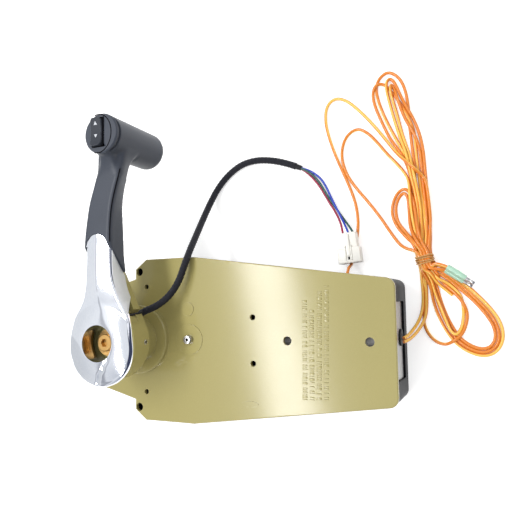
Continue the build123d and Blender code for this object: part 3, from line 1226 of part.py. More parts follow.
CONNECTOR_TURN = Plane(
    origin=CONNECTOR_AT,
    x_dir=(cos(radians(CONNECTOR_TURN_DEG)), sin(radians(CONNECTOR_TURN_DEG)), 0), z_dir=(0, 0, 1),
)
with BuildPart() as trim_connector:
    with BuildSketch(CONNECTOR_TURN):
        Rectangle(CONNECTOR_W, CONNECTOR_L, align=(Align.CENTER, Align.MAX))
    extrude(amount=CONNECTOR_H)
    with BuildSketch(CONNECTOR_TURN):
        Rectangle(CONNECTOR_REAR_W, CONNECTOR_REAR_L, align=(Align.CENTER, Align.MIN))
    extrude(amount=CONNECTOR_REAR_H)
    with BuildSketch(CONNECTOR_TURN.offset(CONNECTOR_H)):
        with Locations((0, -CONNECTOR_L / 2)):
            Rectangle(CONNECTOR_W / 3, CONNECTOR_L / 2)
    extrude(amount=-CONNECTOR_HOLE[1] / 2, mode=Mode.SUBTRACT)
    near_face = Plane(
        origin=CONNECTOR_TURN.from_local_coords((0, -CONNECTOR_L, CONNECTOR_H / 2)),
        x_dir=CONNECTOR_TURN.x_dir, z_dir=-CONNECTOR_TURN.y_dir,
    )
    with BuildSketch(near_face):
        with GridLocations(CONNECTOR_PITCH, 0, 3, 1):
            Rectangle(*CONNECTOR_HOLE)
    extrude(amount=-CONNECTOR_L / 2, mode=Mode.SUBTRACT)
save(trim_connector.part, "trim_connector")

# ================================================================ neutral-switch leads

save(cord_tube("lead_a", LEAD_A_ROUTE, LEAD_D), "lead_a")
save(cord_tube("lead_b", LEAD_B_ROUTE, LEAD_D), "lead_b")
save(cord_tube("lead_c", LEAD_C_ROUTE, LEAD_D), "lead_c")
save(cord_tube("lead_c_loop", LEAD_C_LOOP_ROUTE, LEAD_D), "lead_c_loop")

with BuildPart() as hank_upper:
    with BuildSketch():
        with BuildLine():
            Spline(*HANK_UPPER_OUTLINE, periodic=True)
        make_face()
        for hole in HANK_UPPER_HOLES:
            with BuildLine():
                Spline(*hole, periodic=True)
            make_face(mode=Mode.SUBTRACT)
        with Locations(Location((*SMALL_LOOP_AT, 0), 12)):
            Ellipse(*SMALL_LOOP_HALF)
            Ellipse(SMALL_LOOP_HALF[0] - SMALL_LOOP_BAND, SMALL_LOOP_HALF[1] - SMALL_LOOP_BAND, mode=Mode.SUBTRACT)
    extrude(amount=HANK_UPPER_H)
save(hank_upper.part, "hank_upper")

with BuildPart() as hank_lower:
    with BuildSketch():
        with BuildLine():
            Spline(*HANK_LOWER_OUTLINE, periodic=True)
        make_face()
        with BuildLine():
            Spline(*HANK_LOWER_HOLE, periodic=True)
        make_face(mode=Mode.SUBTRACT)
    extrude(amount=HANK_LOWER_H)
save(hank_lower.part, "hank_lower")

with BuildPart() as hank_tie:
    with BuildSketch():
        Polygon(
            TIE_BOX[0], (TIE_BOX[1][0], TIE_BOX[0][1]), TIE_BOX[1], (TIE_BOX[0][0], TIE_BOX[1][1]), align=None,
        )
    extrude(amount=TIE_H)
save(hank_tie.part, "hank_tie")

BULLET_PLANES = [
    Plane(
        origin=(x, y, BULLET_Z),
        z_dir=(cos(radians(BULLET_TURN_DEG)), sin(radians(BULLET_TURN_DEG)), 0),
    )
    for x, y in BULLETS_AT
]

with BuildPart() as bullet_sleeves:
    for plane in BULLET_PLANES:
        with BuildSketch(plane):
            Circle(BULLET_SLEEVE_R)
            Circle(seat(BULLET_PIN_R), mode=Mode.SUBTRACT)
        extrude(amount=BULLET_SLEEVE_L)
save(bullet_sleeves.part, "bullet_sleeves")

with BuildPart() as bullet_pins:
    for plane in BULLET_PLANES:
        with BuildSketch(plane.offset(BULLET_SLEEVE_L / 2)):
            Circle(BULLET_PIN_R)
        extrude(amount=BULLET_SLEEVE_L / 2 + BULLET_PIN_L)
    fillet(edges().group_by(Axis((0, 0, 0), BULLET_PLANES[0].z_dir))[-1], BULLET_PIN_R * BULLET_NOSE)
save(bullet_pins.part, "bullet_pins")
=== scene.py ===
"""Boat throttle control: finishes and fine shapes of a side-mount lever, its module and its harness.

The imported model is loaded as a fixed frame. Each class below owns one sub-assembly, holds its sizes in
millimetres as dataclass fields, builds the meshes that need more than the plain solids and dresses the
rest. Positions are in the row frame: +Z is the plate's outward normal, +X runs along the plate and +Y is
up along the lever.
"""

from __future__ import annotations

import json
import logging
import math
import random
from dataclasses import dataclass, field
from enum import Enum
from typing import Callable, Sequence

import bmesh
import bpy
from mathutils import Matrix, Vector


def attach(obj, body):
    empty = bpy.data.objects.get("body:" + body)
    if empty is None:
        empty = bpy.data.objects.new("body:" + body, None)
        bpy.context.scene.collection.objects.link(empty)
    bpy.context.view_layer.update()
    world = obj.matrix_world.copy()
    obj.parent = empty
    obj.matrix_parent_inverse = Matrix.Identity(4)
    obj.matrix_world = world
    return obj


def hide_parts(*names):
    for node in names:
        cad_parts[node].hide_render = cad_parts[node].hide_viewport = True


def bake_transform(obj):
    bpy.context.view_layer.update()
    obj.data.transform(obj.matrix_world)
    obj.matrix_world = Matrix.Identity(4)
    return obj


log = logging.getLogger("throttle_control")
logging.basicConfig(level=logging.INFO, format="%(name)s: %(message)s")

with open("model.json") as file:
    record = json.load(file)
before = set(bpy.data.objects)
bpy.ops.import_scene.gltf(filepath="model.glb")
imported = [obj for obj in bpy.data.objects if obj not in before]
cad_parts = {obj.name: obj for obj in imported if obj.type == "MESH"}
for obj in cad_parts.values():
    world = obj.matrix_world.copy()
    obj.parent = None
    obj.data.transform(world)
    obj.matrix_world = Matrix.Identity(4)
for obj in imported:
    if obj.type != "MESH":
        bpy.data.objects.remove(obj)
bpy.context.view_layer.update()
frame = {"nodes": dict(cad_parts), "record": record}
MM = 0.001

Point = tuple[float, float, float]
Colour = tuple[float, float, float]


class Body(str, Enum):
    """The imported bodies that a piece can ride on."""

    MODULE = "module"
    LEVER = "lever"
    ROCKER = "rocker"
    SHIFT = "shift"
    PLUNGER = "plunger"


# -------------------------------------------------------------------------------------------- helpers


def clamp(value: float) -> float:
    """Keeps a value within 0..1."""
    return min(max(value, 0.0), 1.0)


def ease(value: float) -> float:
    """Keeps a value within 0..1 and eases it at both ends."""
    t = clamp(value)
    return t * t * (3 - 2 * t)


def read_table(rows: Sequence[tuple[float, float]], at: float,
               bend: Callable[[float], float] = float) -> float:
    """Reads a value between the rows of a table.

    Args:
        rows: Places and values, in rising order of place.
        at: The place to read at.
        bend: Shapes the way from one row's value to the next one's.

    Returns:
        The value, or the last row's where the place lies beyond it.
    """
    for (place, value), (next_place, next_value) in zip(rows, rows[1:]):
        if at <= next_place:
            return value + (next_value - value) * bend((at - place) / (next_place - place))
    return rows[-1][1]


def placed(at: Point, turn: float = 0.0, axis: str = "Z") -> Matrix:
    """Gives the matrix of a place in millimetres and a turn in degrees about an axis."""
    return Matrix.Translation(Vector(at) * MM) @ Matrix.Rotation(math.radians(turn), 4, axis)


def linked(name: str, data: bpy.types.ID) -> bpy.types.Object:
    """Makes an object from its data and links it to the scene."""
    made = bpy.data.objects.new(name, data)
    bpy.context.scene.collection.objects.link(made)
    return made


# ---------------------------------------------------------------------------------------------- nodes


class Graph:
    """A thin wrapper round a node tree that adds and wires nodes."""

    def __init__(self, tree: bpy.types.NodeTree) -> None:
        """Wraps an empty or cleared node tree."""
        self.tree = tree
        self.nodes = tree.nodes
        self.links = tree.links

    def add(self, kind: str, settings: dict | None = None, **sockets: object) -> bpy.types.Node:
        """Adds a node.

        Args:
            kind: The node's type name, without the ShaderNode prefix.
            settings: Properties of the node, by name.
            **sockets: Values or output sockets for its inputs, with spaces written as underscores.

        Returns:
            The new node.
        """
        node = self.nodes.new("ShaderNode" + kind)
        for key, value in (settings or {}).items():
            setattr(node, key, value)
        for key, value in sockets.items():
            socket = node.inputs[int(key[1:])] if key[0] == "i" and key[1:].isdigit() else (
                node.inputs[key.replace("_", " ")])
            self.feed(socket, value)
        return node

    def feed(self, socket: bpy.types.NodeSocket, value: object) -> None:
        """Links an output socket to an input, or sets the input's own value."""
        if isinstance(value, bpy.types.NodeSocket):
            self.links.new(value, socket)
        elif isinstance(value, tuple) and len(value) == 3 and socket.type == "RGBA":
            socket.default_value = (*value, 1.0)
        else:
            socket.default_value = value

    def math(self, operation: str, a: object, b: object = 0.0, clamp: bool = False) -> bpy.types.NodeSocket:
        """Adds a Math node and returns its output."""
        node = self.add("Math", {"operation": operation, "use_clamp": clamp}, i0=a, i1=b)
        return node.outputs[0]

    def ramp(self, value: object, low: float, high: float, start: float = 0.0,
             end: float = 1.0) -> bpy.types.NodeSocket:
        """Maps a value smoothly from low..high to start..end and returns the output."""
        node = self.add("MapRange", {"interpolation_type": "SMOOTHSTEP"}, Value=value, From_Min=low,
                        From_Max=high, To_Min=start, To_Max=end)
        return node.outputs[0]

    def mix(self, factor: object, a: object, b: object) -> bpy.types.NodeSocket:
        """Mixes two colours and returns the output."""
        node = self.nodes.new("ShaderNodeMix")
        node.data_type = "RGBA"
        self.feed(node.inputs[0], factor)
        self.feed(node.inputs[6], a)
        self.feed(node.inputs[7], b)
        return node.outputs[2]

    def noise(self, vector: object, scale: object, detail: float = 3.0,
              roughness: float = 0.55) -> bpy.types.NodeSocket:
        """Adds a noise texture and returns its factor."""
        node = self.add("TexNoise", None, Vector=vector, Scale=scale, Detail=detail, Roughness=roughness)
        return node.outputs[0]


class Effect:
    """A shader node group that is built once and placed in many materials."""

    name = "effect"
    inputs: Sequence[tuple[str, object]] = ()
    outputs: Sequence[str] = ()
    kinds = {True: "NodeSocketColor", False: "NodeSocketFloat"}
    _built: dict[str, bpy.types.NodeTree] = {}

    @classmethod
    def tree(cls) -> bpy.types.NodeTree:
        """Builds the group the first time and returns it."""
        if cls.name not in cls._built:
            tree = bpy.data.node_groups.new(cls.name, "ShaderNodeTree")
            for label, default in cls.inputs:
                coloured = isinstance(default, tuple)
                socket = tree.interface.new_socket(name=label, in_out="INPUT",
                                                   socket_type=cls.kinds[coloured])
                socket.default_value = (*default, 1.0) if coloured else default
            for label in cls.outputs:
                tree.interface.new_socket(name=label, in_out="OUTPUT",
                                          socket_type=cls.kinds[label == "Color"])
            graph = Graph(tree)
            cls.wire(graph, graph.nodes.new("NodeGroupInput").outputs,
                     graph.nodes.new("NodeGroupOutput").inputs)
            cls._built[cls.name] = tree
        return cls._built[cls.name]

    @classmethod
    def wire(cls, g: Graph, given: bpy.types.NodeOutputs, out: bpy.types.NodeInputs) -> None:
        """Wires the group's nodes; each effect gives its own."""
        raise NotImplementedError

    @classmethod
    def place(cls, g: Graph, **sockets: object) -> bpy.types.Node:
        """Adds the group to a material's graph and returns its node."""
        node = g.nodes.new("ShaderNodeGroup")
        node.node_tree = cls.tree()
        for key, value in sockets.items():
            g.feed(node.inputs[key.replace("_", " ")], value)
        return node


class GrainEffect(Effect):
    """Fine surface grain with slow smudges: varies colour and roughness and gives a bump height."""

    name = "surface_grain"
    inputs = (("Color", (0.5, 0.5, 0.5)), ("Shade", (0.3, 0.3, 0.3)), ("Vary", 0.1), ("Scale", 900.0),
              ("Smudge Scale", 30.0), ("Roughness", 0.4), ("Rough Vary", 0.1))
    outputs = ("Color", "Roughness", "Height")

    @classmethod
    def wire(cls, g: Graph, given: bpy.types.NodeOutputs, out: bpy.types.NodeInputs) -> None:
        """Wires fine and coarse noise to the outputs."""
        place = g.add("TexCoord").outputs["Object"]
        fine = g.noise(place, given["Scale"], 2.0)
        smudge = g.noise(place, given["Smudge Scale"], 5.0, 0.6)
        both = g.math("ADD", g.math("MULTIPLY", fine, 0.45), g.math("MULTIPLY", smudge, 0.55))
        factor = g.math("MULTIPLY", g.ramp(both, 0.35, 0.65), given["Vary"])
        g.feed(out["Color"], g.mix(factor, given["Color"], given["Shade"]))
        swing = g.math("MULTIPLY", g.math("SUBTRACT", smudge, 0.5), given["Rough Vary"])
        g.feed(out["Roughness"], g.math("ADD", given["Roughness"], g.math("MULTIPLY", swing, 2.0), True))
        g.feed(out["Height"], fine)


class WearEffect(Effect):
    """Edge wear: a broken mask along convex edges, and the colour that shows there."""

    name = "edge_wear"
    inputs = (("Color", (0.5, 0.5, 0.5)), ("Worn", (0.8, 0.8, 0.8)),
              ("Amount", 0.5), ("Width", 0.0006),
              ("Scale", 400.0))
    outputs = ("Color", "Mask")

    @classmethod
    def wire(cls, g: Graph, given: bpy.types.NodeOutputs, out: bpy.types.NodeInputs) -> None:
        """Finds edges where a rounded normal leaves the true one."""
        rounded = g.add("Bevel", {"samples": 4}, Radius=given["Width"]).outputs[0]
        normal = g.add("NewGeometry").outputs["Normal"]
        lean = g.add("VectorMath", {"operation": "DOT_PRODUCT"}, i0=rounded, i1=normal).outputs["Value"]
        edge = g.ramp(lean, 0.995, 0.9)
        broken = g.ramp(g.noise(g.add("TexCoord").outputs["Object"], given["Scale"], 4.0), 0.38, 0.62)
        mask = g.math("MULTIPLY", g.math("MULTIPLY", edge, broken), given["Amount"], True)
        g.feed(out["Mask"], mask)
        g.feed(out["Color"], g.mix(mask, given["Color"], given["Worn"]))


class BrushedEffect(Effect):
    """Machined or brushed lines along one axis, as a roughness and a height."""

    name = "machined_lines"
    inputs = (("Scale", 600.0), ("Roughness", 0.3), ("Rough Vary", 0.15))
    outputs = ("Roughness", "Height")

    @classmethod
    def wire(cls, g: Graph, given: bpy.types.NodeOutputs, out: bpy.types.NodeInputs) -> None:
        """Stretches a noise into lines."""
        place = g.add("TexCoord").outputs["Object"]
        lines = g.add("Mapping", None, Vector=place, Scale=(1.0, 1.0, 22.0)).outputs[0]
        grain = g.noise(lines, given["Scale"], 2.0, 0.7)
        swing = g.math("MULTIPLY", g.math("SUBTRACT", grain, 0.5), given["Rough Vary"])
        g.feed(out["Roughness"], g.math("ADD", given["Roughness"], swing, True))
        g.feed(out["Height"], grain)


class StripeEffect(Effect):
    """A coloured band that runs along a wire and slowly turns round it: a pale stripe on the blue wire, a
    painted highlight on the orange leads.
    """

    name = "tracer_stripe_and_highlight"
    inputs = (("Color", (0.9, 0.4, 0.0)), ("Stripe", (1.0, 0.8, 0.1)),
              ("Width", 0.2), ("Turns", 4.0),
              ("Amount", 1.0))
    outputs = ("Color", "Mask")

    @classmethod
    def wire(cls, g: Graph, given: bpy.types.NodeOutputs, out: bpy.types.NodeInputs) -> None:
        """Masks a band of the coordinate round the wire."""
        split = g.add("SeparateXYZ", None, Vector=g.add("UVMap").outputs[0])
        drift = g.math("MULTIPLY", split.outputs[0], given["Turns"])
        place = g.add("TexCoord").outputs["Object"]
        wobble = g.math("MULTIPLY", g.math("SUBTRACT", g.noise(place, 60.0), 0.5), 0.1)
        around = g.math("FRACT", g.math("ADD", g.math("ADD", split.outputs[1], drift), wobble))
        away = g.math("ABSOLUTE", g.math("SUBTRACT", around, 0.5))
        half = g.math("MULTIPLY", given["Width"], 0.5)
        band = g.math("SUBTRACT", 1.0, g.ramp(g.math("SUBTRACT", away, half), -0.02, 0.02))
        mask = g.math("MULTIPLY", band, given["Amount"])
        g.feed(out["Mask"], mask)
        g.feed(out["Color"], g.mix(mask, given["Color"], given["Stripe"]))


class WeaveEffect(Effect):
    """A braided sleeve's crossing yarns, with a lighter painted sheen on them, from the coordinates along and
    round it.
    """

    name = "braid_weave"
    inputs = (("Along", 700.0), ("Around", 10.0),
              ("Color", (0.02, 0.02, 0.02)), ("Sheen", (0.1, 0.1, 0.1)))
    outputs = ("Color", "Height")

    @classmethod
    def wire(cls, g: Graph, given: bpy.types.NodeOutputs, out: bpy.types.NodeInputs) -> None:
        """Crosses two sets of slanting waves."""
        split = g.add("SeparateXYZ", None, Vector=g.add("UVMap").outputs[0])
        along = g.math("MULTIPLY", split.outputs[0], given["Along"])
        around = g.math("MULTIPLY", split.outputs[1], given["Around"])
        waves = []
        for sign in ("ADD", "SUBTRACT"):
            turn = g.math("MULTIPLY", g.math(sign, along, around), math.tau)
            waves.append(g.math("ABSOLUTE", g.math("SINE", turn)))
        height = g.math("MAXIMUM", waves[0], waves[1])
        low = g.math("MINIMUM", waves[0], waves[1])
        g.feed(out["Height"], height)
        # the Sheen colour mixed in on the yarns is a painted sheen
        g.feed(out["Color"], g.mix(g.math("MULTIPLY", low, 0.9), given["Color"], given["Sheen"]))


# ------------------------------------------------------------------------------------------- finishes


@dataclass(frozen=True)
class Finish:
    """A finish of one record slot, as a procedural material."""

    name: str
    color: Colour
    shade: Colour
    roughness: float = 0.45
    metallic: float = 0.0
    vary: float = 0.35
    rough_vary: float = 0.12
    grain_scale: float = 900.0
    smudge_scale: float = 30.0
    bump: float = 0.1
    bump_depth: float = 0.00005
    coat: float = 0.0
    specular: float = 0.5
    slot_of: str = ""

    @property
    def slot(self) -> str:
        """Gives the record slot, which is the finish's own name unless it shares another's."""
        return self.slot_of or self.name

    def build(self) -> bpy.types.Material:
        """Builds the material, or returns it where it is already there.

        Returns:
            The material with a Principled shader fed by the shared effects.
        """
        title = self.name + "_finish"
        found = bpy.data.materials.get(title)
        if found:
            return found
        material = bpy.data.materials.new(title)
        material.use_nodes = True
        material.node_tree.nodes.clear()
        material.diffuse_color = (*self.color, 1.0)
        g = Graph(material.node_tree)
        shader = g.add("BsdfPrincipled", None, Metallic=self.metallic, Specular_IOR_Level=self.specular,
                       Coat_Weight=self.coat, Coat_Roughness=0.12)
        g.add("OutputMaterial", None, Surface=shader.outputs[0])
        color, roughness, height = self.layers(g)
        g.feed(shader.inputs["Base Color"], color)
        g.feed(shader.inputs["Roughness"], roughness)
        bump = g.add("Bump", None, Height=height, Strength=self.bump, Distance=self.bump_depth)
        g.feed(shader.inputs["Normal"], bump.outputs[0])
        self.extras(g, shader)
        return material

    def layers(self, g: Graph) -> tuple[object, object, object]:
        """Gives the colour, roughness and bump height; finishes with more to them extend it."""
        grain = GrainEffect.place(g, Color=self.color, Shade=self.shade, Vary=self.vary,
                                  Scale=self.grain_scale, Smudge_Scale=self.smudge_scale,
                                  Roughness=self.roughness, Rough_Vary=self.rough_vary)
        return grain.outputs["Color"], grain.outputs["Roughness"], grain.outputs["Height"]

    def extras(self, g: Graph, shader: bpy.types.Node) -> None:
        """Sets what only some finishes have; the plain finish has nothing more."""


@dataclass(frozen=True)
class WornFinish(Finish):
    """A finish whose convex edges have rubbed to another colour."""

    worn: Colour = (0.7, 0.7, 0.66)
    wear: float = 0.5
    wear_width: float = 0.0007

    def layers(self, g: Graph) -> tuple[object, object, object]:
        """Adds edge wear over the grain."""
        color, roughness, height = super().layers(g)
        wear = WearEffect.place(g, Color=color, Worn=self.worn, Amount=self.wear, Width=self.wear_width)
        return wear.outputs["Color"], roughness, height


@dataclass(frozen=True)
class MetalFinish(Finish):
    """Machined or brushed metal."""

    metallic: float = 1.0
    line_scale: float = 500.0

    def layers(self, g: Graph) -> tuple[object, object, object]:
        """Takes roughness and height from the machined lines."""
        color = super().layers(g)[0]
        lines = BrushedEffect.place(g, Scale=self.line_scale, Roughness=self.roughness,
                                    Rough_Vary=self.rough_vary)
        return color, lines.outputs["Roughness"], lines.outputs["Height"]


@dataclass(frozen=True)
class CordFinish(Finish):
    """Insulation of a wire, with a turning band where it has one: a pale stripe on the blue wire, a painted
    highlight on the orange leads.
    """

    stripe_and_highlight: Colour = (1.0, 0.8, 0.1)
    stripe_and_highlight_width: float = 0.0
    stripe_and_highlight_turns: float = 3.0

    def layers(self, g: Graph) -> tuple[object, object, object]:
        """Adds the band over the grain; on the orange leads it is a painted highlight."""
        color, roughness, height = super().layers(g)
        if self.stripe_and_highlight_width <= 0:
            return color, roughness, height
        stripe_and_highlight = StripeEffect.place(g, Color=color, Stripe=self.stripe_and_highlight, Width=self.stripe_and_highlight_width,
                                    Turns=self.stripe_and_highlight_turns)
        return stripe_and_highlight.outputs["Color"], roughness, height


@dataclass(frozen=True)
class BraidFinish(Finish):
    """A braided textile sleeve."""

    along: float = 560.0
    around: float = 8.0

    def layers(self, g: Graph) -> tuple[object, object, object]:
        """Takes colour and height from the weave."""
        weave = WeaveEffect.place(g, Along=self.along, Around=self.around, Color=self.color,
                                  Sheen=self.shade)
        return weave.outputs["Color"], super().layers(g)[1], weave.outputs["Height"]


@dataclass(frozen=True)
class ClearFinish(Finish):
    """A tinted, partly clear plastic."""

    transmission: float = 0.3

    def extras(self, g: Graph, shader: bpy.types.Node) -> None:
        """Lets light through."""
        shader.inputs["Transmission Weight"].default_value = self.transmission


class Shelf:
    """Every finish of the control, by its record slot."""

    olive = WornFinish("olive_paint", (0.385, 0.336, 0.13), (0.345, 0.302, 0.113), 0.16,
                       vary=0.5, rough_vary=0.02, grain_scale=1500.0, smudge_scale=18.0, bump=0.05,
                       worn=(0.54, 0.49, 0.26), wear=0.55, wear_width=0.0009, specular=0.5)
    casting = Finish("grey_casting", (0.56, 0.56, 0.55), (0.42, 0.42, 0.42), 0.42, 0.6,
                     grain_scale=700.0, bump=0.4)
    black = WornFinish("black_plastic", (0.006, 0.006, 0.008), (0.014, 0.014, 0.017), 0.36,
                       grain_scale=1200.0, bump=0.3, worn=(0.04, 0.04, 0.045), wear=0.5, specular=0.04)
    handle = Finish("handle_plastic", (0.046, 0.053, 0.07), (0.055, 0.063, 0.082), 0.42,
                    specular=0.35, vary=0.6, rough_vary=0.06, grain_scale=1600.0, smudge_scale=40.0,
                    bump=0.35)
    rocker = WornFinish("rocker_plastic", (0.026, 0.03, 0.04), (0.036, 0.042, 0.052), 0.42,
                        specular=0.3, grain_scale=2200.0, bump=0.4, worn=(0.17, 0.18, 0.2), wear=0.5,
                        wear_width=0.0005)
    mark = Finish("pale_marks", (0.6, 0.62, 0.66), (0.45, 0.47, 0.5), 0.5, slot_of="rocker_plastic")
    chrome = MetalFinish("chrome_plate", (0.86, 0.875, 0.9), (0.74, 0.77, 0.83), 0.085,
                         vary=0.5, rough_vary=0.05, smudge_scale=55.0, line_scale=90.0, bump=0.02)
    # painted sheen: a rougher, less metallic copy of the chrome for the lever's right side wall, so it shows
    # bright instead of mirroring the plate
    chrome_side_sheen = MetalFinish("chrome_side_sheen", (0.74, 0.76, 0.78), (0.62, 0.64, 0.68), 0.34,
                              slot_of="chrome_plate", metallic=0.3, vary=0.6, rough_vary=0.1,
                              smudge_scale=70.0, bump=0.03)
    steel = MetalFinish("steel", (0.62, 0.61, 0.6), (0.45, 0.44, 0.43), 0.3, bump=0.15)
    gear = MetalFinish("gear_steel", (0.42, 0.42, 0.43), (0.3, 0.3, 0.31), 0.36, bump=0.2)
    zinc = MetalFinish("yellow_zinc", (0.66, 0.4, 0.14), (0.5, 0.27, 0.08), 0.3, bump=0.12)
    bronze = MetalFinish("bronze", (0.6, 0.42, 0.2), (0.45, 0.3, 0.15), 0.32, bump=0.15)
    rubber = Finish("rubber_black", (0.012, 0.012, 0.015), (0.022, 0.022, 0.026), 0.55,
                    specular=0.3, bump=0.3)
    # the braid's second colour is the weave's painted sheen
    braid = BraidFinish("braid_black", (0.004, 0.004, 0.007), (0.03, 0.03, 0.042), 0.5,
                        specular=0.25, bump=0.9, bump_depth=0.0003)
    # painted highlight: the yellow band turning round the orange leads stands for the light on them
    orange = CordFinish("wire_orange", (0.8, 0.25, 0.025), (0.66, 0.17, 0.02), 0.28,
                        stripe_and_highlight=(0.97, 0.56, 0.1), stripe_and_highlight_width=0.32, stripe_and_highlight_turns=3.2, bump=0.05, coat=0.3)
    blue = CordFinish("wire_blue", (0.01, 0.045, 0.5), (0.01, 0.03, 0.35), 0.3, bump=0.05,
                      stripe_and_highlight=(0.7, 0.85, 0.95), stripe_and_highlight_width=0.16, stripe_and_highlight_turns=2.0, coat=0.3)
    red = CordFinish("wire_red", (0.36, 0.015, 0.06), (0.25, 0.01, 0.05), 0.3, bump=0.05,
                     coat=0.3)
    green = CordFinish("wire_green", (0.012, 0.09, 0.07), (0.01, 0.03, 0.03), 0.3, bump=0.05,
                       coat=0.3)
    ivory = WornFinish("connector_ivory", (0.85, 0.835, 0.78), (0.8, 0.78, 0.71), 0.32,
                       vary=0.5, bump=0.1, worn=(0.95, 0.93, 0.87), wear=0.3)
    tan = CordFinish("tie_tan", (0.62, 0.34, 0.11), (0.5, 0.26, 0.08), 0.3, bump=0.1, coat=0.4)
    sleeve = ClearFinish("sleeve_green", (0.6, 0.9, 0.72), (0.45, 0.78, 0.58), 0.2)
    # painted shade: near-black finish for sheets and tubes put in holes, gaps, recesses and grooves where
    # shade falls
    dark = Finish("deep_shade", (0.004, 0.004, 0.005), (0.008, 0.008, 0.01), 0.7, specular=0.05,
                  slot_of="black_plastic")

    @classmethod
    def by_slot(cls) -> dict[str, Finish]:
        """Gives the main finish of each slot."""
        return {f.slot: f for f in reversed([v for v in vars(cls).values() if isinstance(v, Finish)])}


# ---------------------------------------------------------------------------------------------- meshes


@dataclass
class Piece:
    """A mesh object that is being made for the control."""

    name: str
    finish: Finish
    body: Body
    replaces: Sequence[str] = ()
    object: bpy.types.Object | None = None

    def from_mesh(self, mesh: bpy.types.Mesh, smooth: bool = True, angle: float = 35.0) -> bpy.types.Object:
        """Makes the object and dresses it.

        Args:
            mesh: The finished mesh, in metres in the row frame.
            smooth: Whether its faces are smooth shaded.
            angle: The angle in degrees above which an edge stays sharp.

        Returns:
            The linked object.
        """
        mesh.name = self.name
        made = linked(self.name, mesh)
        mesh.materials.clear()
        mesh.materials.append(self.finish.build())
        if smooth:
            mesh.shade_smooth()
            mesh.set_sharp_from_angle(angle=math.radians(angle))
        self.object = made
        return made

    def from_bmesh(self, bm: bmesh.types.BMesh, smooth: bool = True, angle: float = 35.0) -> bpy.types.Object:
        """Turns a bmesh into the object and frees it."""
        mesh = bpy.data.meshes.new(self.name)
        bmesh.ops.recalc_face_normals(bm, faces=bm.faces)
        bm.to_mesh(mesh)
        bm.free()
        return self.from_mesh(mesh, smooth, angle)

    def add(self, bm: bmesh.types.BMesh, smooth: bool = True, angle: float = 35.0) -> bpy.types.Object:
        """Turns a bmesh into the object and settles it."""
        self.from_bmesh(bm, smooth, angle)
        return self.settle()

    def turned(self, profile: Sequence[tuple[float, float]], place: Matrix, sides: int,
               smooth: bool = True) -> bpy.types.Object:
        """Adds the piece as a solid that is turned from a profile."""
        bm = bmesh.new()
        Lathe.turned(bm, profile, place, sides)
        return self.add(bm, smooth)

    def settle(self) -> bpy.types.Object:
        """Rides the piece on its body, hides the nodes it replaces and logs it.

        Returns:
            The piece's object.
        """
        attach(self.object, self.body.value)
        return self.declare()

    def declare(self) -> bpy.types.Object:
        """Hides the nodes the piece stands for and logs its faces and finish."""
        if self.replaces:
            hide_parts(*self.replaces)
        log.info("%s: %d faces, %s", self.name, len(self.object.data.polygons), self.finish.name)
        return self.object


